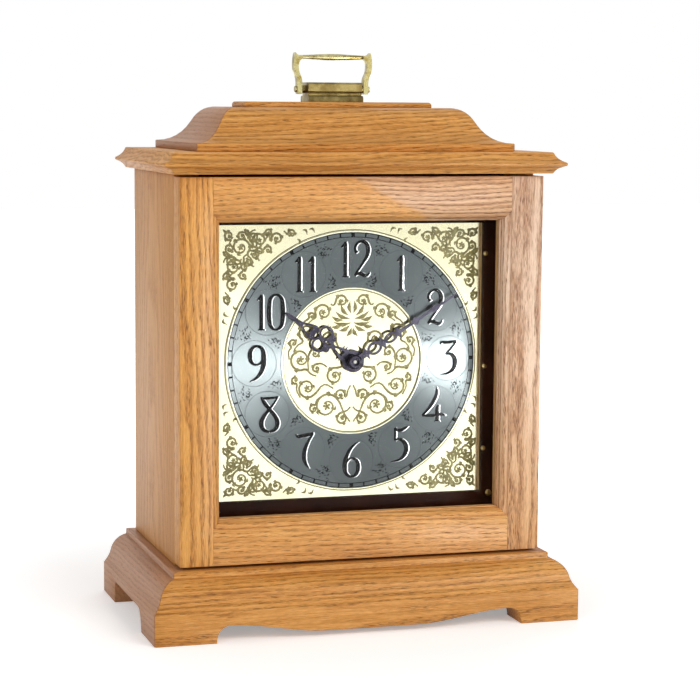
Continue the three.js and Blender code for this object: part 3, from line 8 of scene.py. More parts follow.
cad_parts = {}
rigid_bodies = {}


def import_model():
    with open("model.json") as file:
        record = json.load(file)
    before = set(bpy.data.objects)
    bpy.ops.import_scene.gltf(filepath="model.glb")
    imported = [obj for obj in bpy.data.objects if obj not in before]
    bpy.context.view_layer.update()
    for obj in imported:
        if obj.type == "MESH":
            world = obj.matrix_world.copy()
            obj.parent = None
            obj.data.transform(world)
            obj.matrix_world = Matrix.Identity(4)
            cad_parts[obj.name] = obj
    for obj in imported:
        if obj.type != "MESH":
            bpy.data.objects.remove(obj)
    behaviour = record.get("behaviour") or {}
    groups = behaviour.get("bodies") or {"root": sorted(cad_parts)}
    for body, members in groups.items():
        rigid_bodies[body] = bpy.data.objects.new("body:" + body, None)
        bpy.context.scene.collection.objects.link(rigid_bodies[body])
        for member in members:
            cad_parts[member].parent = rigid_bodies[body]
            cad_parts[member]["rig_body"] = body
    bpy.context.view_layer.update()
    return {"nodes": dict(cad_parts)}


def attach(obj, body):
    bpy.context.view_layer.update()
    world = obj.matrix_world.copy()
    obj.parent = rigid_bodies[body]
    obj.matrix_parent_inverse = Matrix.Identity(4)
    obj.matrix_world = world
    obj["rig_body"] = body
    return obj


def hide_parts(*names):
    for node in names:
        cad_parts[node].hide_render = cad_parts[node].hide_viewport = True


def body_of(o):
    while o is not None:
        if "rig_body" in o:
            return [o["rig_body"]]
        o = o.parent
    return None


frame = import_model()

mm = 0.001


# the camera stands where the photograph was taken from

cameraSet = {"at": (-0.47089, -1.57491, 0.37978), "yaw": 0.2967, "pitch": -0.1123, "roll": 0.0070, "lens": 113.697}


def makeCamera():
    bpy.ops.object.select_all(action="DESELECT")
    bpy.ops.object.camera_add(location=cameraSet["at"])
    camera = bpy.context.object
    camera.name = "studioCamera"
    turn = (
        Matrix.Rotation(-cameraSet["yaw"], 4, "Z")
        @ Matrix.Rotation(pi / 2 + cameraSet["pitch"], 4, "X")
        @ Matrix.Rotation(cameraSet["roll"], 4, "Z")
    )
    camera.matrix_world = Matrix.Translation(cameraSet["at"]) @ turn
    camera.data.lens = cameraSet["lens"]
    camera.data.sensor_width = 36
    bpy.context.scene.camera = camera


makeCamera()
print("camera is set")


# small helpers for materials


def paint(red, green, blue):
    # a screen colour, 0 to 255, as the linear colour that the shaders want
    def channel(value):
        value /= 255
        return value / 12.92 if value <= 0.04045 else ((value + 0.055) / 1.055) ** 2.4

    return (channel(red), channel(green), channel(blue), 1)


def startMaterial(name, **shader):
    material = bpy.data.materials.new(name)
    material.use_nodes = True
    tree = material.node_tree
    principled = tree.nodes["Principled BSDF"]
    for socket, value in shader.items():
        principled.inputs[socket.replace("_", " ")].default_value = value
    return material, tree, principled


def feed(tree, socket, value):
    # a socket takes a link or a plain number
    if isinstance(value, bpy.types.NodeSocket):
        tree.links.new(value, socket)
    else:
        socket.default_value = value


def sums(tree, operation, first, second=0.0, third=None):
    node = tree.nodes.new("ShaderNodeMath")
    node.operation = operation
    feed(tree, node.inputs[0], first)
    feed(tree, node.inputs[1], second)
    if third is not None:
        feed(tree, node.inputs[2], third)
    return node.outputs[0]


def spread(tree, value, low, high, lowOut=0.0, highOut=1.0):
    node = tree.nodes.new("ShaderNodeMapRange")
    node.interpolation_type = "SMOOTHSTEP"
    feed(tree, node.inputs["Value"], value)
    for socket, number in (("From Min", low), ("From Max", high), ("To Min", lowOut), ("To Max", highOut)):
        node.inputs[socket].default_value = number
    return node.outputs["Result"]


def blendColours(tree, share, first, second):
    node = tree.nodes.new("ShaderNodeMix")
    node.data_type = "RGBA"
    feed(tree, node.inputs[0], share)
    feed(tree, node.inputs[6], first)
    feed(tree, node.inputs[7], second)
    return node.outputs[2]


def placed(tree, turn=(0, 0, 0), shift=(0, 0, 0)):
    # object coordinates in millimetres, turned so that the grain runs along Z
    coordinate = tree.nodes.new("ShaderNodeTexCoord")
    mapping = tree.nodes.new("ShaderNodeMapping")
    tree.links.new(coordinate.outputs["Object"], mapping.inputs["Vector"])
    mapping.inputs["Rotation"].default_value = turn
    mapping.inputs["Scale"].default_value = (1 / mm, 1 / mm, 1 / mm)
    mapping.inputs["Location"].default_value = shift
    return mapping.outputs["Vector"]


def axesOf(tree, vector):
    node = tree.nodes.new("ShaderNodeSeparateXYZ")
    tree.links.new(vector, node.inputs[0])
    return node.outputs


def vectorOf(tree, x=0.0, y=0.0, z=0.0):
    node = tree.nodes.new("ShaderNodeCombineXYZ")
    for socket, value in zip(node.inputs, (x, y, z)):
        feed(tree, socket, value)
    return node.outputs[0]


def stretched(tree, vector, scale):
    node = tree.nodes.new("ShaderNodeVectorMath")
    node.operation = "MULTIPLY"
    tree.links.new(vector, node.inputs[0])
    node.inputs[1].default_value = scale
    return node.outputs[0]


def noise(tree, vector, scale=1.0, detail=2.0, roughness=0.5):
    node = tree.nodes.new("ShaderNodeTexNoise")
    tree.links.new(vector, node.inputs["Vector"])
    for socket, value in (("Scale", scale), ("Detail", detail), ("Roughness", roughness)):
        node.inputs[socket].default_value = value
    return node.outputs["Fac"]


def lengthOf(tree, first, second):
    # how far a point lies from the middle, from two of its coordinates
    squares = sums(tree, "ADD", sums(tree, "MULTIPLY", first, first), sums(tree, "MULTIPLY", second, second))
    return sums(tree, "SQRT", squares)


def ramp(tree, value, *stops):
    node = tree.nodes.new("ShaderNodeValToRGB")
    tree.links.new(value, node.inputs["Fac"])
    band = node.color_ramp
    while len(band.elements) < len(stops):
        band.elements.new(0.5)
    for element, (position, colour) in zip(band.elements, stops):
        element.position = position
        element.color = colour
    return node.outputs["Color"]


def grey(level):
    return (level, level, level, 1)


def roughen(tree, principled, height, strength, distance):
    bump = tree.nodes.new("ShaderNodeBump")
    bump.inputs["Strength"].default_value = strength
    bump.inputs["Distance"].default_value = distance
    tree.links.new(height, bump.inputs["Height"])
    tree.links.new(bump.outputs["Normal"], principled.inputs["Normal"])


# oak: growth rings round a pith line, early wood with long dark pores, satin lacquer

grainTurns = {"z": (0, 0, 0), "x": (0, -pi / 2, 0), "y": (pi / 2, 0, 0)}

oakTones = {
    "front": {"pale": paint(238, 181, 104), "mid": paint(221, 159, 84), "deep": paint(176, 114, 54),
              "pore": paint(122, 76, 42), "band": 0.75, "pores": 0.9},
    "rail": {"pale": paint(238, 181, 110), "mid": paint(221, 160, 92), "deep": paint(180, 118, 60),
             "pore": paint(122, 76, 42), "band": 0.35, "pores": 0.9},
    "crown": {"pale": paint(232, 174, 102), "mid": paint(211, 148, 75), "deep": paint(166, 106, 44),
              "pore": paint(110, 67, 32), "band": 0.5, "pores": 0.9},
    # the next two tones are painted light: paler, pinker wood where light falls on the door
    "paintedLightPink": {"pale": paint(246, 222, 200), "mid": paint(233, 201, 173), "deep": paint(188, 144, 112),
             "pore": paint(124, 84, 62), "band": 0.85, "pores": 0.85},
    "paintedLight": {"pale": paint(238, 196, 154), "mid": paint(222, 175, 130), "deep": paint(176, 126, 88),
              "pore": paint(112, 72, 50), "band": 0.9, "pores": 0.9},
    # the next tone is painted shade: darker wood for the end boards of plinth and bell
    "shade": {"pale": paint(188, 137, 98), "mid": paint(176, 125, 87), "deep": paint(160, 112, 77),
              "pore": paint(130, 88, 58), "band": 0.6, "pores": 0.5},
    "side": {"pale": paint(211, 156, 94), "mid": paint(199, 142, 79), "deep": paint(179, 123, 65),
             "pore": paint(142, 92, 48), "band": 0.6, "pores": 0.5},
    "plain": {"pale": paint(216, 172, 120), "mid": paint(200, 153, 101), "deep": paint(176, 129, 81),
              "pore": paint(138, 96, 58), "band": 0.6, "pores": 0.7},
}

# noises are (cycles per mm across, cycles per mm along, detail, roughness); reaches are in mm
oakGrain = {
    "drift": (0.012, 0.0045, 2, 0.5), "driftReach": 22.0,
    "ripple": (0.16, 0.022, 3, 0.6), "rippleReach": 4.2,
    "fray": (1.1, 0.09, 2, 0.7), "frayReach": 0.9,
    "fibre": (2.0, 0.13, 4, 0.75), "strand": (0.5, 0.014, 2, 0.6), "cloud": (0.02, 0.006, 1, 0.5),
    "pore": (2.6, 0.17, 1, 0.5), "poreEdges": (0.5, 0.63), "poreEarly": 0.85, "poreLate": 0.14,
    "ringStops": ((0.0, 0.7), (0.1, 1), (0.34, 0.55), (0.58, 0.12), (0.9, 0.04), (1.0, 0.55)),
    "tints": {"strand": 1.0, "cloud": 0.7, "fibre": 1.3, "early": 0.55, "start": -1.1},
    "tintStops": {"pale": 0.05, "mid": 0.45, "deep": 0.95},
    "seedStep": 37, "borderFray": 16.0, "shine": 0.18, "gloss": (0.44, 0.68), "relief": (0.35, 0.00025),
}


def grainNoise(tree, wood, kind):
    across, along, detail, roughness = oakGrain[kind]
    return noise(tree, stretched(tree, wood, (across, across, along)), 1.0, detail, roughness)


def woodFigure(tree, grain, pith, lean, ring, seed):
    # early: 1 in the porous start of a year's ring; strand and fibre run along the grain
    wood = placed(tree, turn=grainTurns[grain], shift=(pith[0], pith[1], seed * oakGrain["seedStep"]))
    axes = axesOf(tree, wood)
    across = sums(tree, "MULTIPLY_ADD", axes["Z"], lean, axes["X"])
    across = sums(tree, "MULTIPLY_ADD", grainNoise(tree, wood, "drift"), oakGrain["driftReach"], across)
    radius = lengthOf(tree, across, axes["Y"])
    for kind in ("ripple", "fray"):
        radius = sums(tree, "MULTIPLY_ADD", grainNoise(tree, wood, kind), oakGrain[kind + "Reach"], radius)
    phase = sums(tree, "FRACT", sums(tree, "DIVIDE", radius, ring))
    early = ramp(tree, phase, *((place, grey(level)) for place, level in oakGrain["ringStops"]))
    fibre, strand = grainNoise(tree, wood, "fibre"), grainNoise(tree, wood, "strand")
    return wood, early, fibre, strand, spread(tree, grainNoise(tree, wood, "pore"), *oakGrain["poreEdges"])


def oakColour(tree, tone, wood, early, fibre, strand, pores):
    colours, tints = oakTones[tone], oakGrain["tints"]
    tint = sums(tree, "MULTIPLY_ADD", grainNoise(tree, wood, "cloud"), tints["cloud"], tints["start"])
    for share, weight in ((strand, tints["strand"]), (fibre, tints["fibre"]),
                          (early, colours["band"] * tints["early"])):
        tint = sums(tree, "MULTIPLY_ADD", share, weight, tint)
    body = ramp(tree, tint, *((place, colours[key]) for key, place in oakGrain["tintStops"].items()))
    poreShare = sums(tree, "MULTIPLY_ADD", early, oakGrain["poreEarly"], oakGrain["poreLate"])
    poreShare = sums(tree, "MULTIPLY", sums(tree, "MULTIPLY", pores, poreShare), colours["pores"])
    return blendColours(tree, poreShare, body, colours["pore"]), poreShare


def oakMaterial(name, tone, grain, pith, lean, ring, seed, paintedLight=None):
    material, tree, principled = startMaterial(name, Specular_IOR_Level=oakGrain["shine"])
    figure = woodFigure(tree, grain, pith, lean, ring, seed)
    colour, poreShare = oakColour(tree, tone, *figure)
    if paintedLight:
        # painted light: a slanting border splits the board into a paler, pinker lit zone and its own tone
        other, start, slope, soft = paintedLight
        acrossBorder, _ = oakColour(tree, other, *figure)
        place = axesOf(tree, placed(tree))
        edge = sums(tree, "MULTIPLY_ADD", place["Z"], slope, place["X"])
        edge = sums(tree, "MULTIPLY_ADD", figure[3], oakGrain["borderFray"], edge)
        colour = blendColours(tree, spread(tree, edge, start, start + soft), colour, acrossBorder)
    tree.links.new(colour, principled.inputs["Base Color"])
    tree.links.new(spread(tree, poreShare, 0.0, 0.8, *oakGrain["gloss"]), principled.inputs["Roughness"])
    height = sums(tree, "SUBTRACT", sums(tree, "MULTIPLY", figure[2], 0.3), poreShare)
    roughen(tree, principled, height, *oakGrain["relief"])
    return material


# metals, plastics, paint and glass


def metalMaterial(name, bright, dull, roughness=(0.25, 0.4), patch=0.12, metallic=1.0, bump=0.1):
    # patches of tarnish between a bright and a dull tone, with fine pits
    material, tree, principled = startMaterial(name, Metallic=metallic)
    place = placed(tree)
    patches = noise(tree, place, patch, 4.0, 0.6)
    pits = noise(tree, place, 1.9, 2.0)
    share = spread(tree, sums(tree, "MULTIPLY_ADD", pits, 0.25, patches), 0.42, 0.78)
    tree.links.new(blendColours(tree, share, bright, dull), principled.inputs["Base Color"])
    tree.links.new(spread(tree, share, 0, 1, *roughness), principled.inputs["Roughness"])
    height = sums(tree, "MULTIPLY_ADD", patches, 0.6, sums(tree, "MULTIPLY", pits, 0.5))
    roughen(tree, principled, height, bump, 0.0002)
    return material


turnedSet = {"lines": 4.0, "cloud": 0.03, "roughness": (0.3, 0.38), "anisotropy": 0.92, "relief": (0.08, 0.00005)}


def turnedMaterial(name, bright, dull, middle):
    # metal turned on a lathe: fine circular lines, so its shine spreads away from the middle
    material, tree, principled = startMaterial(name, Metallic=1.0, Anisotropic=turnedSet["anisotropy"])
    axes = axesOf(tree, placed(tree, shift=(-middle[0], 0, -middle[1])))
    reach = lengthOf(tree, axes["X"], axes["Z"])
    lines = noise(tree, vectorOf(tree, reach, 0.0, 0.0), turnedSet["lines"], 3.0, 0.7)
    cloud = noise(tree, placed(tree), turnedSet["cloud"], 2.0)
    share = spread(tree, sums(tree, "MULTIPLY_ADD", lines, 0.5, sums(tree, "MULTIPLY", cloud, 0.5)), 0.3, 0.7)
    tree.links.new(blendColours(tree, share, bright, dull), principled.inputs["Base Color"])
    tree.links.new(spread(tree, lines, 0.3, 0.7, *turnedSet["roughness"]), principled.inputs["Roughness"])
    roughen(tree, principled, lines, *turnedSet["relief"])
    outward = tree.nodes.new("ShaderNodeVectorMath")
    outward.operation = "NORMALIZE"
    tree.links.new(vectorOf(tree, axes["X"], 0.0, axes["Z"]), outward.inputs[0])
    tree.links.new(outward.outputs[0], principled.inputs["Tangent"])
    return material


def plainMaterial(name, tone, shade, roughness=(0.4, 0.55), grain=1.6, bump=0.12, shine=0.5):
    # moulded or painted surface with a fine grain
    material, tree, principled = startMaterial(name, Specular_IOR_Level=shine)
    place = placed(tree)
    fine = noise(tree, place, grain, 3.0)
    wide = noise(tree, place, grain * 0.03, 2.0)
    share = spread(tree, sums(tree, "MULTIPLY_ADD", fine, 0.4, sums(tree, "MULTIPLY", wide, 0.6)), 0.3, 0.7)
    tree.links.new(blendColours(tree, share, tone, shade), principled.inputs["Base Color"])
    tree.links.new(spread(tree, fine, 0.3, 0.7, *roughness), principled.inputs["Roughness"])
    roughen(tree, principled, fine, bump, 0.0001)
    return material


# where the cell's copper band and bare ends start, in mm from its middle
batterySet = {"band": (10.6, 11.0), "bare": (23.2, 23.4), "gloss": (0.24, 0.36)}


def batteryMaterial(name):
    # plain sleeve with a coppery band at one end, bare steel at both ends
    material, tree, principled = startMaterial(name, Metallic=0.8)
    place = placed(tree)
    along = axesOf(tree, place)["X"]
    fine = noise(tree, place, 1.4, 2.0)
    band = spread(tree, along, *batterySet["band"])
    sleeve = blendColours(tree, band, paint(40, 42, 46), paint(186, 118, 62))
    bare = spread(tree, sums(tree, "ABSOLUTE", along), *batterySet["bare"])
    sleeve = blendColours(tree, bare, sleeve, paint(196, 198, 200))
    worn = blendColours(tree, spread(tree, fine, 0.5, 0.9, 0, 0.4), sleeve, paint(120, 120, 122))
    tree.links.new(worn, principled.inputs["Base Color"])
    tree.links.new(spread(tree, fine, 0.3, 0.7, *batterySet["gloss"]), principled.inputs["Roughness"])
    roughen(tree, principled, fine, 0.06, 0.0001)
    return material


glassSet = {"tone": (0.985, 0.992, 0.988, 1), "through": (0.97, 0.975, 0.97, 1), "clear": 0.985, "smear": 0.015}


def glassMaterial(name):
    # thin clear pane: almost all light goes straight through to the dial
    material, tree, principled = startMaterial(name, Transmission_Weight=1.0, IOR=1.45)
    smear = spread(tree, noise(tree, placed(tree), 0.02, 3.0), 0.45, 0.8, 0.0, glassSet["smear"])
    tree.links.new(smear, principled.inputs["Roughness"])
    principled.inputs["Base Color"].default_value = glassSet["tone"]
    ray = tree.nodes.new("ShaderNodeLightPath")
    clear = tree.nodes.new("ShaderNodeBsdfTransparent")
    clear.inputs["Color"].default_value = glassSet["through"]
    mixer = tree.nodes.new("ShaderNodeMixShader")
    tree.links.new(sums(tree, "MAXIMUM", ray.outputs["Is Shadow Ray"], glassSet["clear"]), mixer.inputs[0])
    tree.links.new(principled.outputs[0], mixer.inputs[1])
    tree.links.new(clear.outputs[0], mixer.inputs[2])
    tree.links.new(mixer.outputs[0], tree.nodes["Material Output"].inputs["Surface"])
    return material


dialMiddle = (0, 190.8)  # mm across and up

dialBrass = metalMaterial("dialBrass", paint(236, 231, 200), paint(229, 222, 186), (0.07, 0.12), 0.03, bump=0.02)
# the ring's base tones are dark grey: partly the silvered metal's own colour, partly a painted reflection of dark
# surroundings
ringSilver = turnedMaterial("ringSilver", paint(106, 112, 114), paint(94, 99, 101), dialMiddle)
blackSteel = metalMaterial("blackSteel", paint(66, 63, 74), paint(46, 43, 52), (0.34, 0.48), 0.2)
antiqueBrass = metalMaterial("antiqueBrass", paint(212, 203, 148), paint(132, 117, 66), (0.18, 0.36), 0.12, bump=0.15)
darkBrass = metalMaterial("darkBrass", paint(158, 142, 92), paint(104, 88, 50), (0.3, 0.46), 0.08, bump=0.2)
hingeBrass = metalMaterial("hingeBrass", paint(208, 184, 128), paint(172, 146, 92), (0.24, 0.38), 0.1)
strikeSteel = metalMaterial("strikeSteel", paint(200, 203, 206), paint(168, 171, 175), (0.28, 0.4), 0.1)
blackPlastic = plainMaterial("blackPlastic", paint(42, 43, 46), paint(30, 31, 34))
whiteNylon = plainMaterial("whiteNylon", paint(232, 229, 220), paint(218, 215, 204), (0.42, 0.55))
motorCopper = metalMaterial("motorCopper", paint(196, 112, 66), paint(150, 78, 44), (0.3, 0.45), 0.3)
circuitGreen = plainMaterial("circuitGreen", paint(48, 110, 72), paint(38, 92, 60), (0.3, 0.42))
batteryJacket = batteryMaterial("batteryJacket")
# the dial board's near-black brown is partly its dark stain, partly painted shade of the case's inside
dialBoardBrown = plainMaterial("dialBoardBrown", paint(54, 23, 10), paint(30, 12, 6), (0.45, 0.65), 0.9, shine=0.06)
clearGlass = glassMaterial("clearGlass")
numeralBlack = plainMaterial("numeralBlack", paint(20, 20, 22), paint(12, 12, 14), (0.24, 0.34), 0.8, 0.04, 0.12)
# the pale metal of the numerals' copies: a painted highlight
numeralHighlight = metalMaterial("numeralHighlight", paint(240, 242, 243), paint(222, 225, 227), (0.2, 0.3), 0.1)
ringInk = plainMaterial("ringInk", paint(24, 25, 28), paint(16, 17, 19), (0.5, 0.6), 0.9, 0.05, 0.08)
ringLine = plainMaterial("ringLine", paint(92, 98, 103), paint(76, 82, 87), (0.5, 0.6), 0.9, 0.05, 0.08)
scrollOlive = metalMaterial("scrollOlive", paint(136, 127, 72), paint(104, 95, 50), (0.5, 0.6), 0.3, 0.2, 0.1)
rimCream = metalMaterial("rimCream", paint(250, 247, 224), paint(232, 226, 192), (0.14, 0.22), 0.1)
print("materials are made")


# helpers for pieces


def onlyThis(piece):
    bpy.ops.object.select_all(action="DESELECT")
    piece.select_set(True)
    bpy.context.view_layer.objects.active = piece


def applyModifier(piece, kind, **settings):
    onlyThis(piece)
    modifier = piece.modifiers.new(kind.lower(), kind)
    for key, value in settings.items():
        setattr(modifier, key, value)
    bpy.ops.object.modifier_apply(modifier=modifier.name)


def giveMaterial(piece, material):
    piece.data.materials.clear()
    piece.data.materials.append(material)


def finishPiece(piece, name, material, body, angle=34):
    # names a new piece, smooths it and lets it ride on its body
    onlyThis(piece)
    piece.name = name
    bpy.ops.object.transform_apply(location=True, rotation=True, scale=True)
    bpy.ops.object.shade_smooth_by_angle(angle=radians(angle))
    giveMaterial(piece, material)
    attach(piece, body)
    return piece


def repeated(pattern, places):
    # copies a finished shape, each copy with its own mesh, and joins the copies
    copies = []
    for place in places:
        copy = bpy.data.objects.new(pattern.name, pattern.data.copy())
        bpy.context.scene.collection.objects.link(copy)
        copy.data.transform(place)
        copies.append(copy)
    bpy.data.objects.remove(pattern)
    bpy.ops.object.select_all(action="DESELECT")
    for copy in copies:
        copy.select_set(True)
    bpy.context.view_layer.objects.active = copies[0]
    bpy.ops.object.join()
    return copies[0]


# grain direction, pith offset across the board (mm), lean, ring width and seed of every board
boards = {
    "plinth_front": ("crown", "x", (4, 118), 0.03, 3.4, 1.0),
    "cornice_board": ("crown", "x", (-352, 40), 0.02, 3.1, 2.0),
    "bell_front": ("crown", "x", (-330, 90), 0.05, 3.3, 3.0),
    "bell_back": ("crown", "x", (-330, -90), 0.05, 3.3, 4.0),
    "top_plate": ("crown", "x", (-350, -20), 0.03, 2.8, 5.0),
    "door_stile_left": ("front", "z", (128, 110), 0.03, 3.0, 6.0),
    # the right stile and the top rail's right part take the pinker tones: painted light falling on them
    "door_stile_right": ("paintedLightPink", "z", (-112, 104), -0.03, 3.2, 7.0),
    "door_rail_top": ("rail", "x", (-318, 108), 0.035, 3.4, 8.0),
    "door_rail_bottom": ("rail", "x", (-62, 112), -0.03, 3.2, 9.0),
    # the end boards of plinth and bell (below) take the darker shade tone: painted shade
    "plinth_left": ("shade", "y", (170, -20), 0.03, 3.2, 10.0),
    "plinth_right": ("shade", "y", (-170, -20), 0.03, 3.2, 11.0),
    "plinth_back": ("side", "x", (-30, -110), 0.03, 3.2, 12.0),
    "side_left": ("side", "z", (170, -20), 0.04, 3.4, 13.0),
    "side_right": ("side", "z", (-170, -20), -0.04, 3.4, 14.0),
    # painted shade, as on the plinth's ends
    "bell_left": ("shade", "y", (120, -330), 0.04, 3.2, 15.0),
    "bell_right": ("shade", "y", (-120, -330), 0.04, 3.2, 16.0),
    "base_deck": ("plain", "x", (-20, 30), 0.03, 3.6, 17.0),
    "rear_rail_top": ("plain", "x", (-300, -40), 0.03, 3.2, 18.0),
    "rear_rail_bottom": ("plain", "x", (-40, -40), 0.03, 3.2, 19.0),
    "rear_door": ("plain", "z", (20, -130), 0.05, 4.2, 20.0),
    "dial_cleat_left": ("plain", "z", (130, 40), 0.02, 2.6, 21.0),
    "dial_cleat_right": ("plain", "z", (-130, 40), 0.02, 2.6, 22.0),
    "glass_bead_top": ("plain", "x", (-290, 70), 0.02, 2.4, 23.0),
    "glass_bead_bottom": ("plain", "x", (-60, 70), 0.02, 2.4, 24.0),
    "glass_bead_left": ("plain", "z", (120, 70), 0.02, 2.4, 25.0),
    "glass_bead_right": ("plain", "z", (-120, 70), 0.02, 2.4, 26.0),
}
boardSet = {"edge": 0.0006, "thinEdge": 0.0004, "weld": 0.00001, "flat": 0.8, "corner": 42}
# painted light zones: the other tone, where its border starts (mm), its slope and its softness
paintedLightBorders = {"door_rail_top": ("paintedLight", 612, 1.9, 12), "door_stile_right": ("front", -170, -1, 380)}


def dressBoard(node):
    tone, grain, pith, lean, ring, seed = boards[node]
    source = frame["nodes"][node]
    board = bpy.data.objects.new(node + "_board", source.data.copy())
    bpy.context.scene.collection.objects.link(board)
    onlyThis(board)
    bpy.ops.object.mode_set(mode="EDIT")
    bpy.ops.mesh.select_all(action="SELECT")
    bpy.ops.mesh.remove_doubles(threshold=boardSet["weld"])
    bpy.ops.mesh.dissolve_limited(angle_limit=radians(boardSet["flat"]))
    bpy.ops.object.mode_set(mode="OBJECT")
    width = boardSet["thinEdge"] if tone == "plain" else boardSet["edge"]
    applyModifier(board, "BEVEL", width=width, segments=2, limit_method="ANGLE",
                  angle_limit=radians(boardSet["corner"]), use_clamp_overlap=True)
    oak = oakMaterial(node + "Oak", tone, grain, pith, lean, ring, seed, paintedLightBorders.get(node))
    finishPiece(board, node + "_board", oak, body_of(source)[0])
    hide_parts(node)


for node in boards:
    dressBoard(node)
print("boards are dressed")


# finishes of the other solids

finishes = {
    "dial_brass": dialBrass,
    "silvered_ring": ringSilver,
    "black_steel": blackSteel,
    "antique_brass": antiqueBrass,
    "dark_brass": darkBrass,
    "hinge_brass": hingeBrass,
    "strike_steel": strikeSteel,
    "black_plastic": blackPlastic,
    "white_nylon": whiteNylon,
    "motor_copper": motorCopper,
    "circuit_green": circuitGreen,
    "battery_jacket": batteryJacket,
    "dark_board": dialBoardBrown,
    "clear_glass": clearGlass,
}


def finishSolids():
    for node, solid in frame["nodes"].items():
        if node in boards:
            continue
        slotName = solid.data.materials[0].name.split(".")[0]
        solid.data.materials[0] = finishes[slotName]


finishSolids()
print("solids are finished")


# strokes laid on the dial: every point is (across, up, half width) in mm from the dial's middle


def inlay(name, lines, bed, rise, material, steps=4, sides=0):
    # a line that ends on its first point is closed
    bpy.ops.object.select_all(action="DESELECT")
    bpy.ops.curve.primitive_bezier_curve_add(location=(0, 0, 0))
    curve = bpy.context.object
    shape = curve.data
    shape.splines.clear()
    shape.dimensions = "3D"
    shape.bevel_depth = mm
    shape.bevel_resolution = sides
    shape.resolution_u = steps
    shape.use_fill_caps = True
    for line in lines:
        closed = line[0] == line[-1]
        points = line[:-1] if closed else line
        spline = shape.splines.new("BEZIER")
        spline.bezier_points.add(len(points) - 1)
        spline.use_cyclic_u = closed
        for point, (across, up, half) in zip(spline.bezier_points, points):
            point.co = ((dialMiddle[0] + across) * mm, 0, (dialMiddle[1] + up) * mm)
            point.handle_left_type = point.handle_right_type = "AUTO"
            point.radius = half
    bpy.ops.object.convert(target="MESH")
    piece = bpy.context.object
    piece.data.transform(Matrix.Translation((0, bed * mm, 0)) @ Matrix.Diagonal((1, rise, 1, 1)))
    onlyThis(piece)
    bpy.ops.object.mode_set(mode="EDIT")
    bpy.ops.mesh.select_all(action="SELECT")
    bpy.ops.mesh.normals_make_consistent(inside=False)
    bpy.ops.object.mode_set(mode="OBJECT")
    return finishPiece(piece, name, material, "case")


def moved(lines, across, up, swell=0.0):
    return [[(u + across, v + up, half + swell) for u, v, half in line] for line in lines]


def mirrored(lines):
    return lines + [[(-u, v, half) for u, v, half in line] for line in lines]


def turnedBy(lines, degrees):
    c, s = cos(radians(degrees)), sin(radians(degrees))
    return [[(u * c - v * s, u * s + v * c, half) for u, v, half in line] for line in lines]


def circle(radius, half, middle=(0, 0), points=24):
    line = [(middle[0] + radius * cos(2 * pi * k / points), middle[1] + radius * sin(2 * pi * k / points), half)
            for k in range(points)]
    return line + [line[0]]


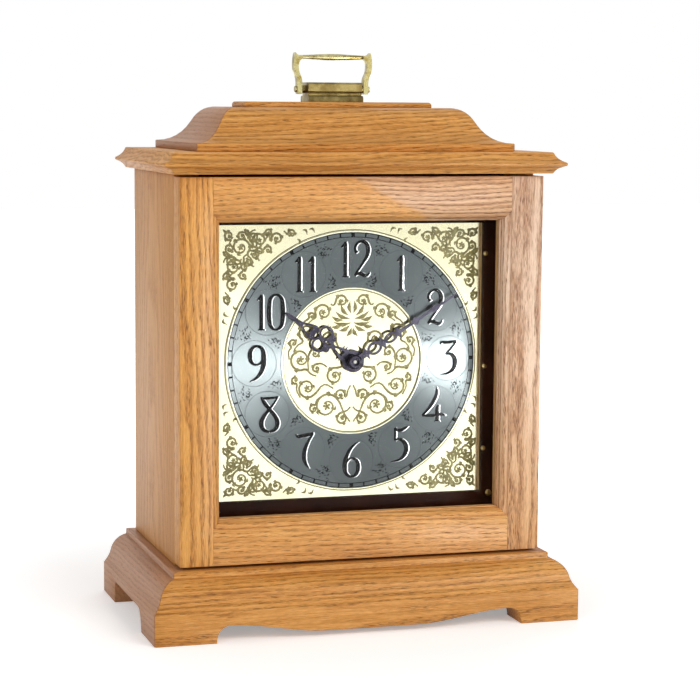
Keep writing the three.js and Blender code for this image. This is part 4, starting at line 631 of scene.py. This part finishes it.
# plain old-style dial numbers, drawn as strokes about each digit's middle
digits = {
    "0": [[(0, 12.6, .8), (3.6, 10.6, 1.4), (5, 5, 1.7), (5.2, 0, 1.8), (5, -5, 1.7), (3.6, -10.6, 1.4),
           (0, -12.6, .8), (-3.6, -10.6, 1.4), (-5, -5, 1.7), (-5.2, 0, 1.8), (-5, 5, 1.7), (-3.6, 10.6, 1.4),
           (0, 12.6, .8)]],
    "1": [[(0, 12.9, .9), (0, 11, 1.35), (0, 0, 1.35), (0, -11.5, 1.4), (0, -12.6, 1.7)],
          [(-3.4, 8.9, .35), (-2.2, 9.6, .9), (-.6, 11.2, 1.1)], [(-2.4, -12.6, .5), (0, -12.4, .7), (2.6, -12.6, .5)]],
    "2": [[(-3.6, 4.6, 1.5), (-4.9, 6.4, 1), (-4.6, 10, 1), (-1.2, 12.8, 1), (2.6, 12, 1.5), (4.7, 8, 1.8),
           (4.2, 3, 1.5), (.6, -3.2, 1), (-3.2, -8.6, .9), (-5.2, -12, 1)],
          [(-5.2, -12, .8), (-3.4, -10.6, 1.2), (-.6, -10.6, 1.5), (2.4, -12, 1.5), (4.6, -11.6, 1), (6, -9.4, .5)]],
    "3": [[(-6, 9.8, .4), (-5.6, 11.4, 1.1), (-2, 11.4, 1.2), (3, 11.6, 1.2), (6.2, 12, .9)],
          [(6, 11.6, .7), (2.4, 7.2, .9), (-1.6, 2.6, .8)],
          [(-2, 2.6, .6), (1.2, 2.9, 1.2), (4.3, .6, 1.8), (5.4, -3.8, 2), (3.8, -8.6, 1.6), (0, -11.4, 1),
           (-5.8, -12.6, .3)]],
    "4": [[(2, 13, .3), (2.4, 9, 1.2), (.6, 3.6, 1.5), (-4, -3.2, 1.2), (-9, -8.2, .8)],
          [(-9, -8.4, .6), (-5, -8.4, 1.1), (1, -8.4, 1.2), (6, -7.8, 1.2), (9.4, -8.8, .4)],
          [(3.6, -.6, .9), (2.8, -3, 1.6), (2.8, -8, 1.7), (2.8, -11.4, 1.5), (2.8, -13, 1)],
          [(.6, -12.8, .4), (2.8, -12.4, .8), (5, -12.8, .4)]],
    "5": [[(-3.6, 12.4, .5), (-1.6, 10.6, 1.2), (1.6, 10.4, 1.4), (4.6, 11.8, 1.1), (6.8, 13, .3)],
          [(-3.4, 12, .9), (-3.2, 7, 1), (-3.4, 2.8, .8)],
          [(-3.6, 2.6, .5), (-.4, 3.6, 1.1), (3.4, 1.6, 1.7), (5.4, -2.8, 2), (4.4, -7.6, 1.7), (.8, -11.4, 1),
           (-6.6, -13.2, .3)]],
    "6": [[(5.2, 12.8, .3), (1.6, 10.6, .9), (-2.4, 5.6, 1.4), (-5, -1.4, 1.8), (-5.2, -6.4, 1.9)],
          [(-5, -5.6, 1.8), (-4, -10.4, 1.5), (0, -12.6, .9), (4, -10.4, 1.5), (5, -5.6, 1.8), (3.8, -.9, 1.4),
           (.2, .9, .7), (-3.8, -1.4, 1), (-5, -5.6, 1.8)]],
    "7": [[(-6.8, 12.6, .4), (-5.2, 10.8, 1.2), (-1.6, 11, 1.5), (2.6, 11.6, 1.5), (6.8, 12.8, .8)],
          [(6.4, 12.2, .8), (3, 7, 1.2), (.4, 1, 1.6), (-.2, -5.4, 1.7), (1.2, -10, 1.2), (3.6, -13.2, .3)]],
    "8": [[(-6.8, 12.6, .5), (-4, 12, 1), (0, 12, 1), (4, 12.2, 1), (6.8, 12.8, .5)],
          [(-6, 12.2, 1.2), (-3.4, 8.2, 1.6), (.4, 3.4, 1.5), (4.4, -1.6, 1.6), (6, -6, 1.9), (4.6, -10.6, 1.6),
           (0, -12.7, 1)],
          [(6, 12.2, .6), (3.4, 8.2, .8), (-.4, 3.4, 1.1), (-4.4, -1.6, 1.6), (-6, -6, 1.9), (-4.6, -10.6, 1.6),
           (0, -12.7, 1)]],
    "9": [[(5, 5.6, 1.8), (4, 10.4, 1.5), (0, 12.6, .9), (-4, 10.4, 1.5), (-5, 5.6, 1.8), (-3.8, .9, 1.4),
           (-.2, -.9, .7), (3.8, 1.4, 1), (5, 5.6, 1.8)],
          [(5.2, 6.4, 1.9), (5.2, .6, 1.9), (3.6, -5.6, 1.5), (-.4, -10.6, .9), (-5.2, -13, .3)]],
}
digitPlaces = (
    ("1", -5.7, 74.4), ("2", 6.7, 74.4), ("1", 37, 63.7), ("2", 63.4, 38), ("3", 74.3, 0.4), ("4", 63.4, -34),
    ("5", 36.8, -62.8), ("6", 0, -73), ("7", -36, -65), ("8", -62.5, -37.5), ("9", -72, 0),
    ("1", -68.7, 37), ("0", -57.8, 37), ("1", -40.4, 64), ("1", -30.4, 64),
)
numeralSet = {"bed": -40.56, "rise": 0.14, "highlightBed": -40.36, "highlightRise": 0.06, "highlightShift": (0.85, -0.15),
              "swell": 0.12}


def makeNumerals():
    lines, edges = [], []
    for digit, across, up in digitPlaces:
        lines += moved(digits[digit], across, up, numeralSet["swell"])
        # a pale copy of each numeral, shifted right and down and laid under it, is a painted highlight along the
        # numerals' edges
        sideways, upward = numeralSet["highlightShift"]
        edges += moved(digits[digit], across + sideways, up + upward)
    inlay("numeral_highlights", edges, numeralSet["highlightBed"], numeralSet["highlightRise"], numeralHighlight, 4, 1)
    inlay("numerals", lines, numeralSet["bed"], numeralSet["rise"], numeralBlack, 4, 1)


makeNumerals()
print("numerals are laid")


# minute track, number circles, rim lines with the painted shadow of the rims on the plate, and the small engraved
# sprigs of the chapter ring
trackSet = {"inner": 90.6, "outer": 93.6, "line": 0.26, "tick": (1.15, 0.4, 3.0), "bold": (2.7, 0.5, 3.3),
            "tickEdge": 0.1, "ringFace": -40.35, "plateFace": -39.65, "numberCircle": 16.6, "numberReach": 74,
            "numberLine": 0.2, "rims": (94.65, 53.35), "rimHalf": 0.42, "rimLift": 0.4, "rimShadowRadii": (95.75, 52.2),
            "rimShadowHalf": 0.36, "rises": {"track": 0.4, "circles": 0.5, "rims": 0.35, "edges": 0.4}}
# sprigs lie between two radii in a patch of a width; each: how many strokes a patch has
sprigSet = {"seed": 7, "outer": (79, 89, 17), "inner": (55.5, 65, 11), "each": (26, 16), "size": (0.8, 1.5),
            "bend": 0.9, "waist": 0.3, "half": 0.36, "tips": (0.1, 0.08), "rise": 0.15}


def tickBlock(size):
    # a bevelled bar whose foot is sunk into the ring
    bpy.ops.object.select_all(action="DESELECT")
    bpy.ops.mesh.primitive_cube_add(size=mm, location=(0, 0, 0))
    bar = bpy.context.object
    bar.data.transform(Matrix.Diagonal((*size, 1)))
    applyModifier(bar, "BEVEL", width=trackSet["tickEdge"] * mm, segments=1, limit_method="ANGLE")
    return bar


def makeTicks(name, size, minutes):
    track = (trackSet["inner"] + trackSet["outer"]) / 2
    middle = Matrix.Translation((dialMiddle[0] * mm, trackSet["ringFace"] * mm, dialMiddle[1] * mm))
    places = [middle @ Matrix.Rotation(2 * pi * minute / 60, 4, "Y") @ Matrix.Translation((0, 0, track * mm))
              for minute in minutes]
    finishPiece(repeated(tickBlock(size), places), name, ringInk, "case")


def makeSprigs():
    # short leaf strokes fill the corners that the number circles leave free
    chance = random.Random(sprigSet["seed"])
    pattern = []
    for zone, count in zip(("outer", "inner"), sprigSet["each"]):
        low, high, width = sprigSet[zone]
        for _ in range(count):
            up = chance.uniform(low, high)
            opening = (up - low) / (high - low)
            if zone == "inner":
                opening = 1 - opening
            taper = sprigSet["waist"] + (1 - sprigSet["waist"]) * opening
            across = chance.uniform(-0.5, 0.5) * width * taper
            heading, size = chance.uniform(0, 2 * pi), chance.uniform(*sprigSet["size"])
            bend = heading + chance.choice((-sprigSet["bend"], sprigSet["bend"]))
            root, tip = sprigSet["tips"]
            pattern.append([
                (across, up, root),
                (across + size * cos(heading), up + size * sin(heading), sprigSet["half"] * size),
                (across + size * (cos(heading) + cos(bend)), up + size * (sin(heading) + sin(bend)), tip),
            ])
    lines = []
    for hour in range(12):
        lines += turnedBy(pattern, 15 + 30 * hour)
    inlay("ring_sprigs", lines, trackSet["ringFace"], sprigSet["rise"], ringInk, 2)


def makeRingDetail():
    minutes, rises = range(60), trackSet["rises"]
    makeTicks("minute_ticks", trackSet["tick"], [minute for minute in minutes if minute % 5])
    makeTicks("hour_ticks", trackSet["bold"], [minute for minute in minutes if minute % 5 == 0])
    lines = [circle(trackSet["inner"], trackSet["line"]), circle(trackSet["outer"], trackSet["line"])]
    inlay("track_lines", lines, trackSet["ringFace"], rises["track"], ringInk, 5)
    rounds = []
    for hour in range(12):
        turn = radians(30 * hour)
        middle = (trackSet["numberReach"] * sin(turn), trackSet["numberReach"] * cos(turn))
        rounds.append(circle(trackSet["numberCircle"], trackSet["numberLine"], middle, 16))
    inlay("number_circles", rounds, trackSet["ringFace"], rises["circles"], ringLine, 4)
    rims = [circle(radius, trackSet["rimHalf"]) for radius in trackSet["rims"]]
    rimBed = trackSet["ringFace"] - trackSet["rimLift"]
    inlay("ring_rims", rims, rimBed, rises["rims"], rimCream, 5, 1)
    # the olive circles on the plate just outside and inside the ring are painted shadow of the ring's rims
    edges = [circle(radius, trackSet["rimShadowHalf"]) for radius in trackSet["rimShadowRadii"]]
    inlay("ring_shadows", edges, trackSet["plateFace"], rises["edges"], scrollOlive, 5)
    makeSprigs()


makeRingDetail()
print("chapter ring is marked")


# scrolled leafwork of the dial plate: (middle, radius, start angle, turns, hand, stem points)
middleCurls = (
    ((19, -33), 9.6, 150, 1.3, -1, ((1.2, -45), (6, -38))),
    ((7, -42.5), 4.6, 80, 1.2, -1, ((1, -34), (3.5, -36.6))),
    ((34, -19), 7.6, 215, 1.3, 1, ((14, -20), (21, -17))),
    ((39, 2), 8.6, 240, 1.35, 1, ((27, -10.5), (31, -9))),
    ((34, 21), 6.8, 300, 1.3, 1, ((44, 9), (41, 12.5))),
    ((22, 36), 6.6, 330, 1.3, 1, ((33, 28.5), (30.5, 30.5))),
    ((8, 44), 4.8, 350, 1.2, 1, ((16.5, 42), (14.6, 41))),
    ((13, -11), 6.6, 110, 1.3, -1, ((2, -3), (6, -3.6))),
    ((18, 16), 6.4, 200, 1.3, -1, ((8, 6), (10, 10))),
    ((28, 6), 4, 20, 1.1, 1, ((33, -6), (33.4, 1))),
    ((9, -25), 4.4, 200, 1.2, -1, ((1, -18), (3, -22))),
    ((27, -5), 3.2, 90, 1.1, -1, ((19, -4), (23, -1.6))),
    ((29, -34.5), 3.4, 120, 1.1, -1, ((24, -26), (27, -29))),
    ((43, -13), 3, 250, 1.1, 1, ((39, -26), (42, -20))),
    ((44.5, 14), 3.2, 300, 1.1, 1, ((47.5, 2), (48, 8))),
    ((30.5, 33.5), 2.8, 330, 1.1, 1, ((41, 24), (37, 29))),
)
cornerCurls = (
    ((91, 74), 3.8, 150, 1.2, -1, ((83, 75.5), (86, 74.5))),
    ((94.5, 63), 3, 160, 1.1, -1, ((88, 66), (90.5, 65))),
    ((92, 83), 3, 30, 1.1, 1, ((90, 77), (93.5, 79))),
    ((81, 70), 3, 100, 1.1, -1, ((74, 70), (77, 71.5))),
    ((84, 84), 7.4, 225, 1.35, 1, ((72.5, 74.5), (75.5, 76))),
    ((70, 89), 5.8, 300, 1.3, 1, ((80, 93.5), (76, 92))),
    ((92.5, 92.5), 3.6, 200, 1.2, -1, ((86, 92.5), (88.4, 91.6))),
    ((57, 90), 4.6, 340, 1.25, 1, ((64.5, 94.5), (62.5, 91.5))),
    ((46, 93.6), 3, 350, 1.2, 1, ((52, 95.5), (50.3, 94))),
    ((73.5, 78.5), 3.4, 60, 1.15, 1, ((79, 79), (77, 81.6))),
    ((63.5, 82), 3, 20, 1.1, 1, ((68.5, 79.5), (67.4, 81.6))),
    ((79, 95), 2.2, 200, 1.1, 1, ((73, 96.5), (75.6, 95.6))),
)
# leaves of the spray over the hands and single leaves round the corners: (across, up, heading, length)
crestLeaves = (
    (2, 31, 12, 12), (1, 28, -12, 13), (3, 33.5, 40, 10), (2, 26, -40, 9), (1, 35, 72, 9), (7, 30, 4, 9),
    (0.6, 24, -72, 7), (8, 26.5, -24, 8),
)
looseLeaves = ((38, 96, 185, 5), (33, 96.4, 170, 5), (42, 89.6, 215, 5), (97, 97, 225, 5), (88, 76, 300, 5))
scrollSet = {"wide": 0.9, "thin": 0.6, "shrink": 0.72, "leaf": 3.3, "stepsPerTurn": 9, "fewestSteps": 7,
             "leafEvery": 3, "leafEnd": 0.75, "petals": 5, "petal": 0.34, "bed": -39.65, "rise": 0.3,
             "leafHalves": (0.22, 0.95, 0.14), "leafBend": 0.7, "crestHalf": 1.6, "crestBend": 0.25}


def leafStroke(across, up, heading, length, bend=scrollSet["leafBend"]):
    root, belly, tip = scrollSet["leafHalves"]
    turn, middle = heading + bend, 0.5 * length
    return [(across, up, root), (across + middle * cos(heading), up + middle * sin(heading), belly),
            (across + length * cos(turn), up + length * sin(turn), tip)]


def curlStrokes(middle, radius, start, turns, hand, stem):
    # a winding stem, a bud at its eye and leaves that break away outside it
    lines, winding = [], [(u, v, scrollSet["thin"]) for u, v in stem]
    steps = max(scrollSet["fewestSteps"], int(turns * scrollSet["stepsPerTurn"]))
    for step in range(steps + 1):
        share = step / steps
        angle = radians(start) + hand * share * turns * 2 * pi
        reach = radius * (1 - scrollSet["shrink"] * share)
        half = scrollSet["wide"] + (scrollSet["thin"] - scrollSet["wide"]) * share
        winding.append((middle[0] + reach * cos(angle), middle[1] + reach * sin(angle), half))
        if step % scrollSet["leafEvery"] == 1 and share < scrollSet["leafEnd"]:
            foot = winding[-1][:2]
            outer = scrollSet["leaf"] * (0.45 + radius / 14)
            inner = scrollSet["leaf"] * (0.3 + radius / 20)
            lines.append(leafStroke(*foot, angle + hand * 0.9, outer, hand * 0.6))
            lines.append(leafStroke(*foot, angle + pi - hand * 0.8, inner, -hand * 0.6))
    lines.append(winding)
    for petal in range(scrollSet["petals"]):
        heading = 2 * pi * petal / scrollSet["petals"] + radians(start)
        size = radius * scrollSet["petal"]
        lines.append([(middle[0], middle[1], 0.3), (middle[0] + 0.6 * size * cos(heading),
                      middle[1] + 0.6 * size * sin(heading), 0.09 * radius + 0.14),
                      (middle[0] + size * cos(heading), middle[1] + size * sin(heading), 0.12)])
    return lines


def makeScrolls():
    half = []
    for curl in middleCurls:
        half += curlStrokes(*curl)
    for across, up, heading, length in crestLeaves:
        leaf = leafStroke(across, up, radians(heading), length, scrollSet["crestBend"])
        leaf[1] = leaf[1][:2] + (scrollSet["crestHalf"],)
        half.append(leaf)
    inlay("middle_scrolls", mirrored(half), scrollSet["bed"], scrollSet["rise"], scrollOlive, 3)
    corner = []
    for curl in cornerCurls:
        across, up = curl[0]
        strokes = curlStrokes(*curl)
        corner += strokes
        if across != up:
            corner += [[(v, u, width) for u, v, width in line] for line in strokes]
    for across, up, heading, length in looseLeaves:
        leaf = leafStroke(across, up, radians(heading), length)
        corner += [leaf, [(v, u, width) for u, v, width in leaf]]
    corners = []
    for quarter in range(4):
        corners += turnedBy(corner, 90 * quarter)
    inlay("corner_scrolls", corners, scrollSet["bed"], scrollSet["rise"], scrollOlive, 3)


makeScrolls()
print("dial plate is engraved")


# round-headed pins and slotted screws; radius, height, heads as (x, y, z, turn) in mm and degrees
headSet = {"segments": 20, "rings": 10, "slotWidth": 0.24, "slotDepth": 0.55, "smooth": 40}
faces = {"dialBoard": -38.65, "hingeLeaf": 88.35, "turnButton": 90.05}
leafHeights = [z + step for z in (86.4, 290.2) for step in (-8, 8)]
fasteners = {
    "dial_pins": {"radius": 1.9, "height": 1.1, "body": "case", "heads": [
        (side * 103.4, faces["dialBoard"], z, 0) for side in (-1, 1) for z in (268, 184, 122)]},
    "board_screws": {"radius": 2.6, "height": 1.2, "body": "case", "slotted": True, "heads": [
        (side * 108, faces["dialBoard"], z, 35 * side + z) for side in (-1, 1) for z in (88, 302)]},
    "case_leaf_screws": {"radius": 2.1, "height": 0.7, "body": "case", "slotted": True, "back": True, "heads": [
        (-127.2, faces["hingeLeaf"], z, 3 * z) for z in leafHeights]},
    "door_leaf_screws": {"radius": 2.1, "height": 0.7, "body": "rear_door", "slotted": True, "back": True, "heads": [
        (-106.6, faces["hingeLeaf"], z, 5 * z) for z in leafHeights]},
    "button_screw": {"radius": 3.0, "height": 1.1, "body": "case", "slotted": True, "back": True, "heads": [
        (126.4, faces["turnButton"], 188.3, 28)]},
}


def roundHead(radius, height, slotted):
    # half a ball, pressed flat, with a driver's slot; it faces -Y
    bpy.ops.object.select_all(action="DESELECT")
    bpy.ops.mesh.primitive_uv_sphere_add(segments=headSet["segments"], ring_count=headSet["rings"],
                                         radius=radius * mm, location=(0, 0, 0))
    head = bpy.context.object
    bpy.ops.object.mode_set(mode="EDIT")
    bpy.ops.mesh.select_all(action="SELECT")
    bpy.ops.mesh.bisect(plane_co=(0, 0, 0), plane_no=(0, 1, 0), clear_outer=True, use_fill=True)
    bpy.ops.object.mode_set(mode="OBJECT")
    head.data.transform(Matrix.Diagonal((1, height / radius, 1, 1)))
    if slotted:
        bpy.ops.mesh.primitive_cube_add(size=mm, location=(0, 0, 0))
        cutter = bpy.context.object
        cutter.data.transform(Matrix.Translation((0, -height * mm, 0)) @ Matrix.Diagonal(
            (3 * radius, 2 * height * headSet["slotDepth"], headSet["slotWidth"] * radius, 1)))
        applyModifier(head, "BOOLEAN", operation="DIFFERENCE", object=cutter, solver="EXACT")
        bpy.data.objects.remove(cutter)
    return head


def makeFasteners():
    for name, item in fasteners.items():
        head = roundHead(item["radius"], item["height"], item.get("slotted", False))
        about = Matrix.Rotation(pi if item.get("back") else 0, 4, "Z")
        places = [Matrix.Translation((x * mm, y * mm, z * mm)) @ about @ Matrix.Rotation(radians(turn), 4, "Y")
                  for x, y, z, turn in item["heads"]]
        finishPiece(repeated(head, places), name, hingeBrass, item["body"], headSet["smooth"])


makeFasteners()
print("fasteners are set")


# floor, lamps and background; the floor's paper glows to white between the two reaches (mm)
floorSet = {"size": 12, "pale": paint(252, 252, 252), "dim": paint(248, 248, 248), "reach": (150, 700),
            "nearGlow": 0.32, "farGlow": 1.0}
roomSet = {"light": 0.34, "seen": 1.0}


def seenRays(tree):
    # 1 for rays that come from the camera, straight, off a shiny surface or through glass
    ray = tree.nodes.new("ShaderNodeLightPath")
    seen = sums(tree, "MAXIMUM", ray.outputs["Is Camera Ray"], ray.outputs["Is Glossy Ray"])
    return sums(tree, "MAXIMUM", seen, ray.outputs["Is Transmission Ray"])


def makeFloor():
    bpy.ops.object.select_all(action="DESELECT")
    bpy.ops.mesh.primitive_plane_add(size=floorSet["size"], location=(0, 0, 0))
    floor = bpy.context.object
    floor.name = "studioFloor"
    material, tree, principled = startMaterial("floorPaper", Roughness=0.9, Specular_IOR_Level=0.2)
    place = placed(tree)
    tooth = spread(tree, noise(tree, place, 0.6, 2.0), 0.3, 0.7)
    tree.links.new(blendColours(tree, tooth, floorSet["dim"], floorSet["pale"]), principled.inputs["Base Color"])
    axes = axesOf(tree, place)
    away = lengthOf(tree, axes["X"], axes["Y"])
    glow = spread(tree, away, *floorSet["reach"], floorSet["nearGlow"], floorSet["farGlow"])
    principled.inputs["Emission Color"].default_value = (1, 1, 1, 1)
    tree.links.new(sums(tree, "MULTIPLY", seenRays(tree), glow), principled.inputs["Emission Strength"])
    giveMaterial(floor, material)


lamps = {
    "keyLamp": {"at": (0.9, -2.2, 1.7), "size": (1.5, 1.2), "power": 36, "look": (0, 0, 0.2)},
    "fillLamp": {"at": (-1.7, -1.7, 1.1), "size": (1.4, 1.4), "power": 14, "look": (0, 0, 0.2)},
    "sideLamp": {"at": (-2.2, 0.3, 1.2), "size": (1.4, 1.4), "power": 5, "look": (0, 0, 0.2)},
    "backLamp": {"at": (0.8, 2.2, 1.6), "size": (1.6, 1.2), "power": 18, "look": (0, 0, 0.2)},
    "dialLamp": {"at": (0.66, -0.8, 0.07), "size": (0.24, 0.12), "power": 13, "look": (0, -0.04, 0.19),
                 "gloss": True},
}


def makeLamps():
    for name, lamp in lamps.items():
        bpy.ops.object.light_add(type="AREA", location=lamp["at"])
        light = bpy.context.object
        light.name = name
        light.data.shape = "RECTANGLE"
        light.data.size, light.data.size_y = lamp["size"]
        light.data.energy = lamp["power"]
        aim = Vector(lamp["look"]) - Vector(lamp["at"])
        light.rotation_euler = aim.to_track_quat("-Z", "Y").to_euler()
        light.visible_camera = False
        # soft lamps give no hard mirror image, the dial lamp gives only that
        light.visible_glossy = bool(lamp.get("gloss"))
        light.visible_diffuse = not light.visible_glossy


def makeBackground():
    world = bpy.data.worlds.new("whiteRoom")
    bpy.context.scene.world = world
    world.use_nodes = True
    tree = world.node_tree
    background = tree.nodes["Background"]
    background.inputs["Color"].default_value = (1, 1, 1, 1)
    strength = spread(tree, seenRays(tree), 0, 1, roomSet["light"], roomSet["seen"])
    tree.links.new(strength, background.inputs["Strength"])


makeFloor()
makeLamps()
makeBackground()
bpy.context.scene.view_settings.view_transform = "Standard"
print("studio is lit")
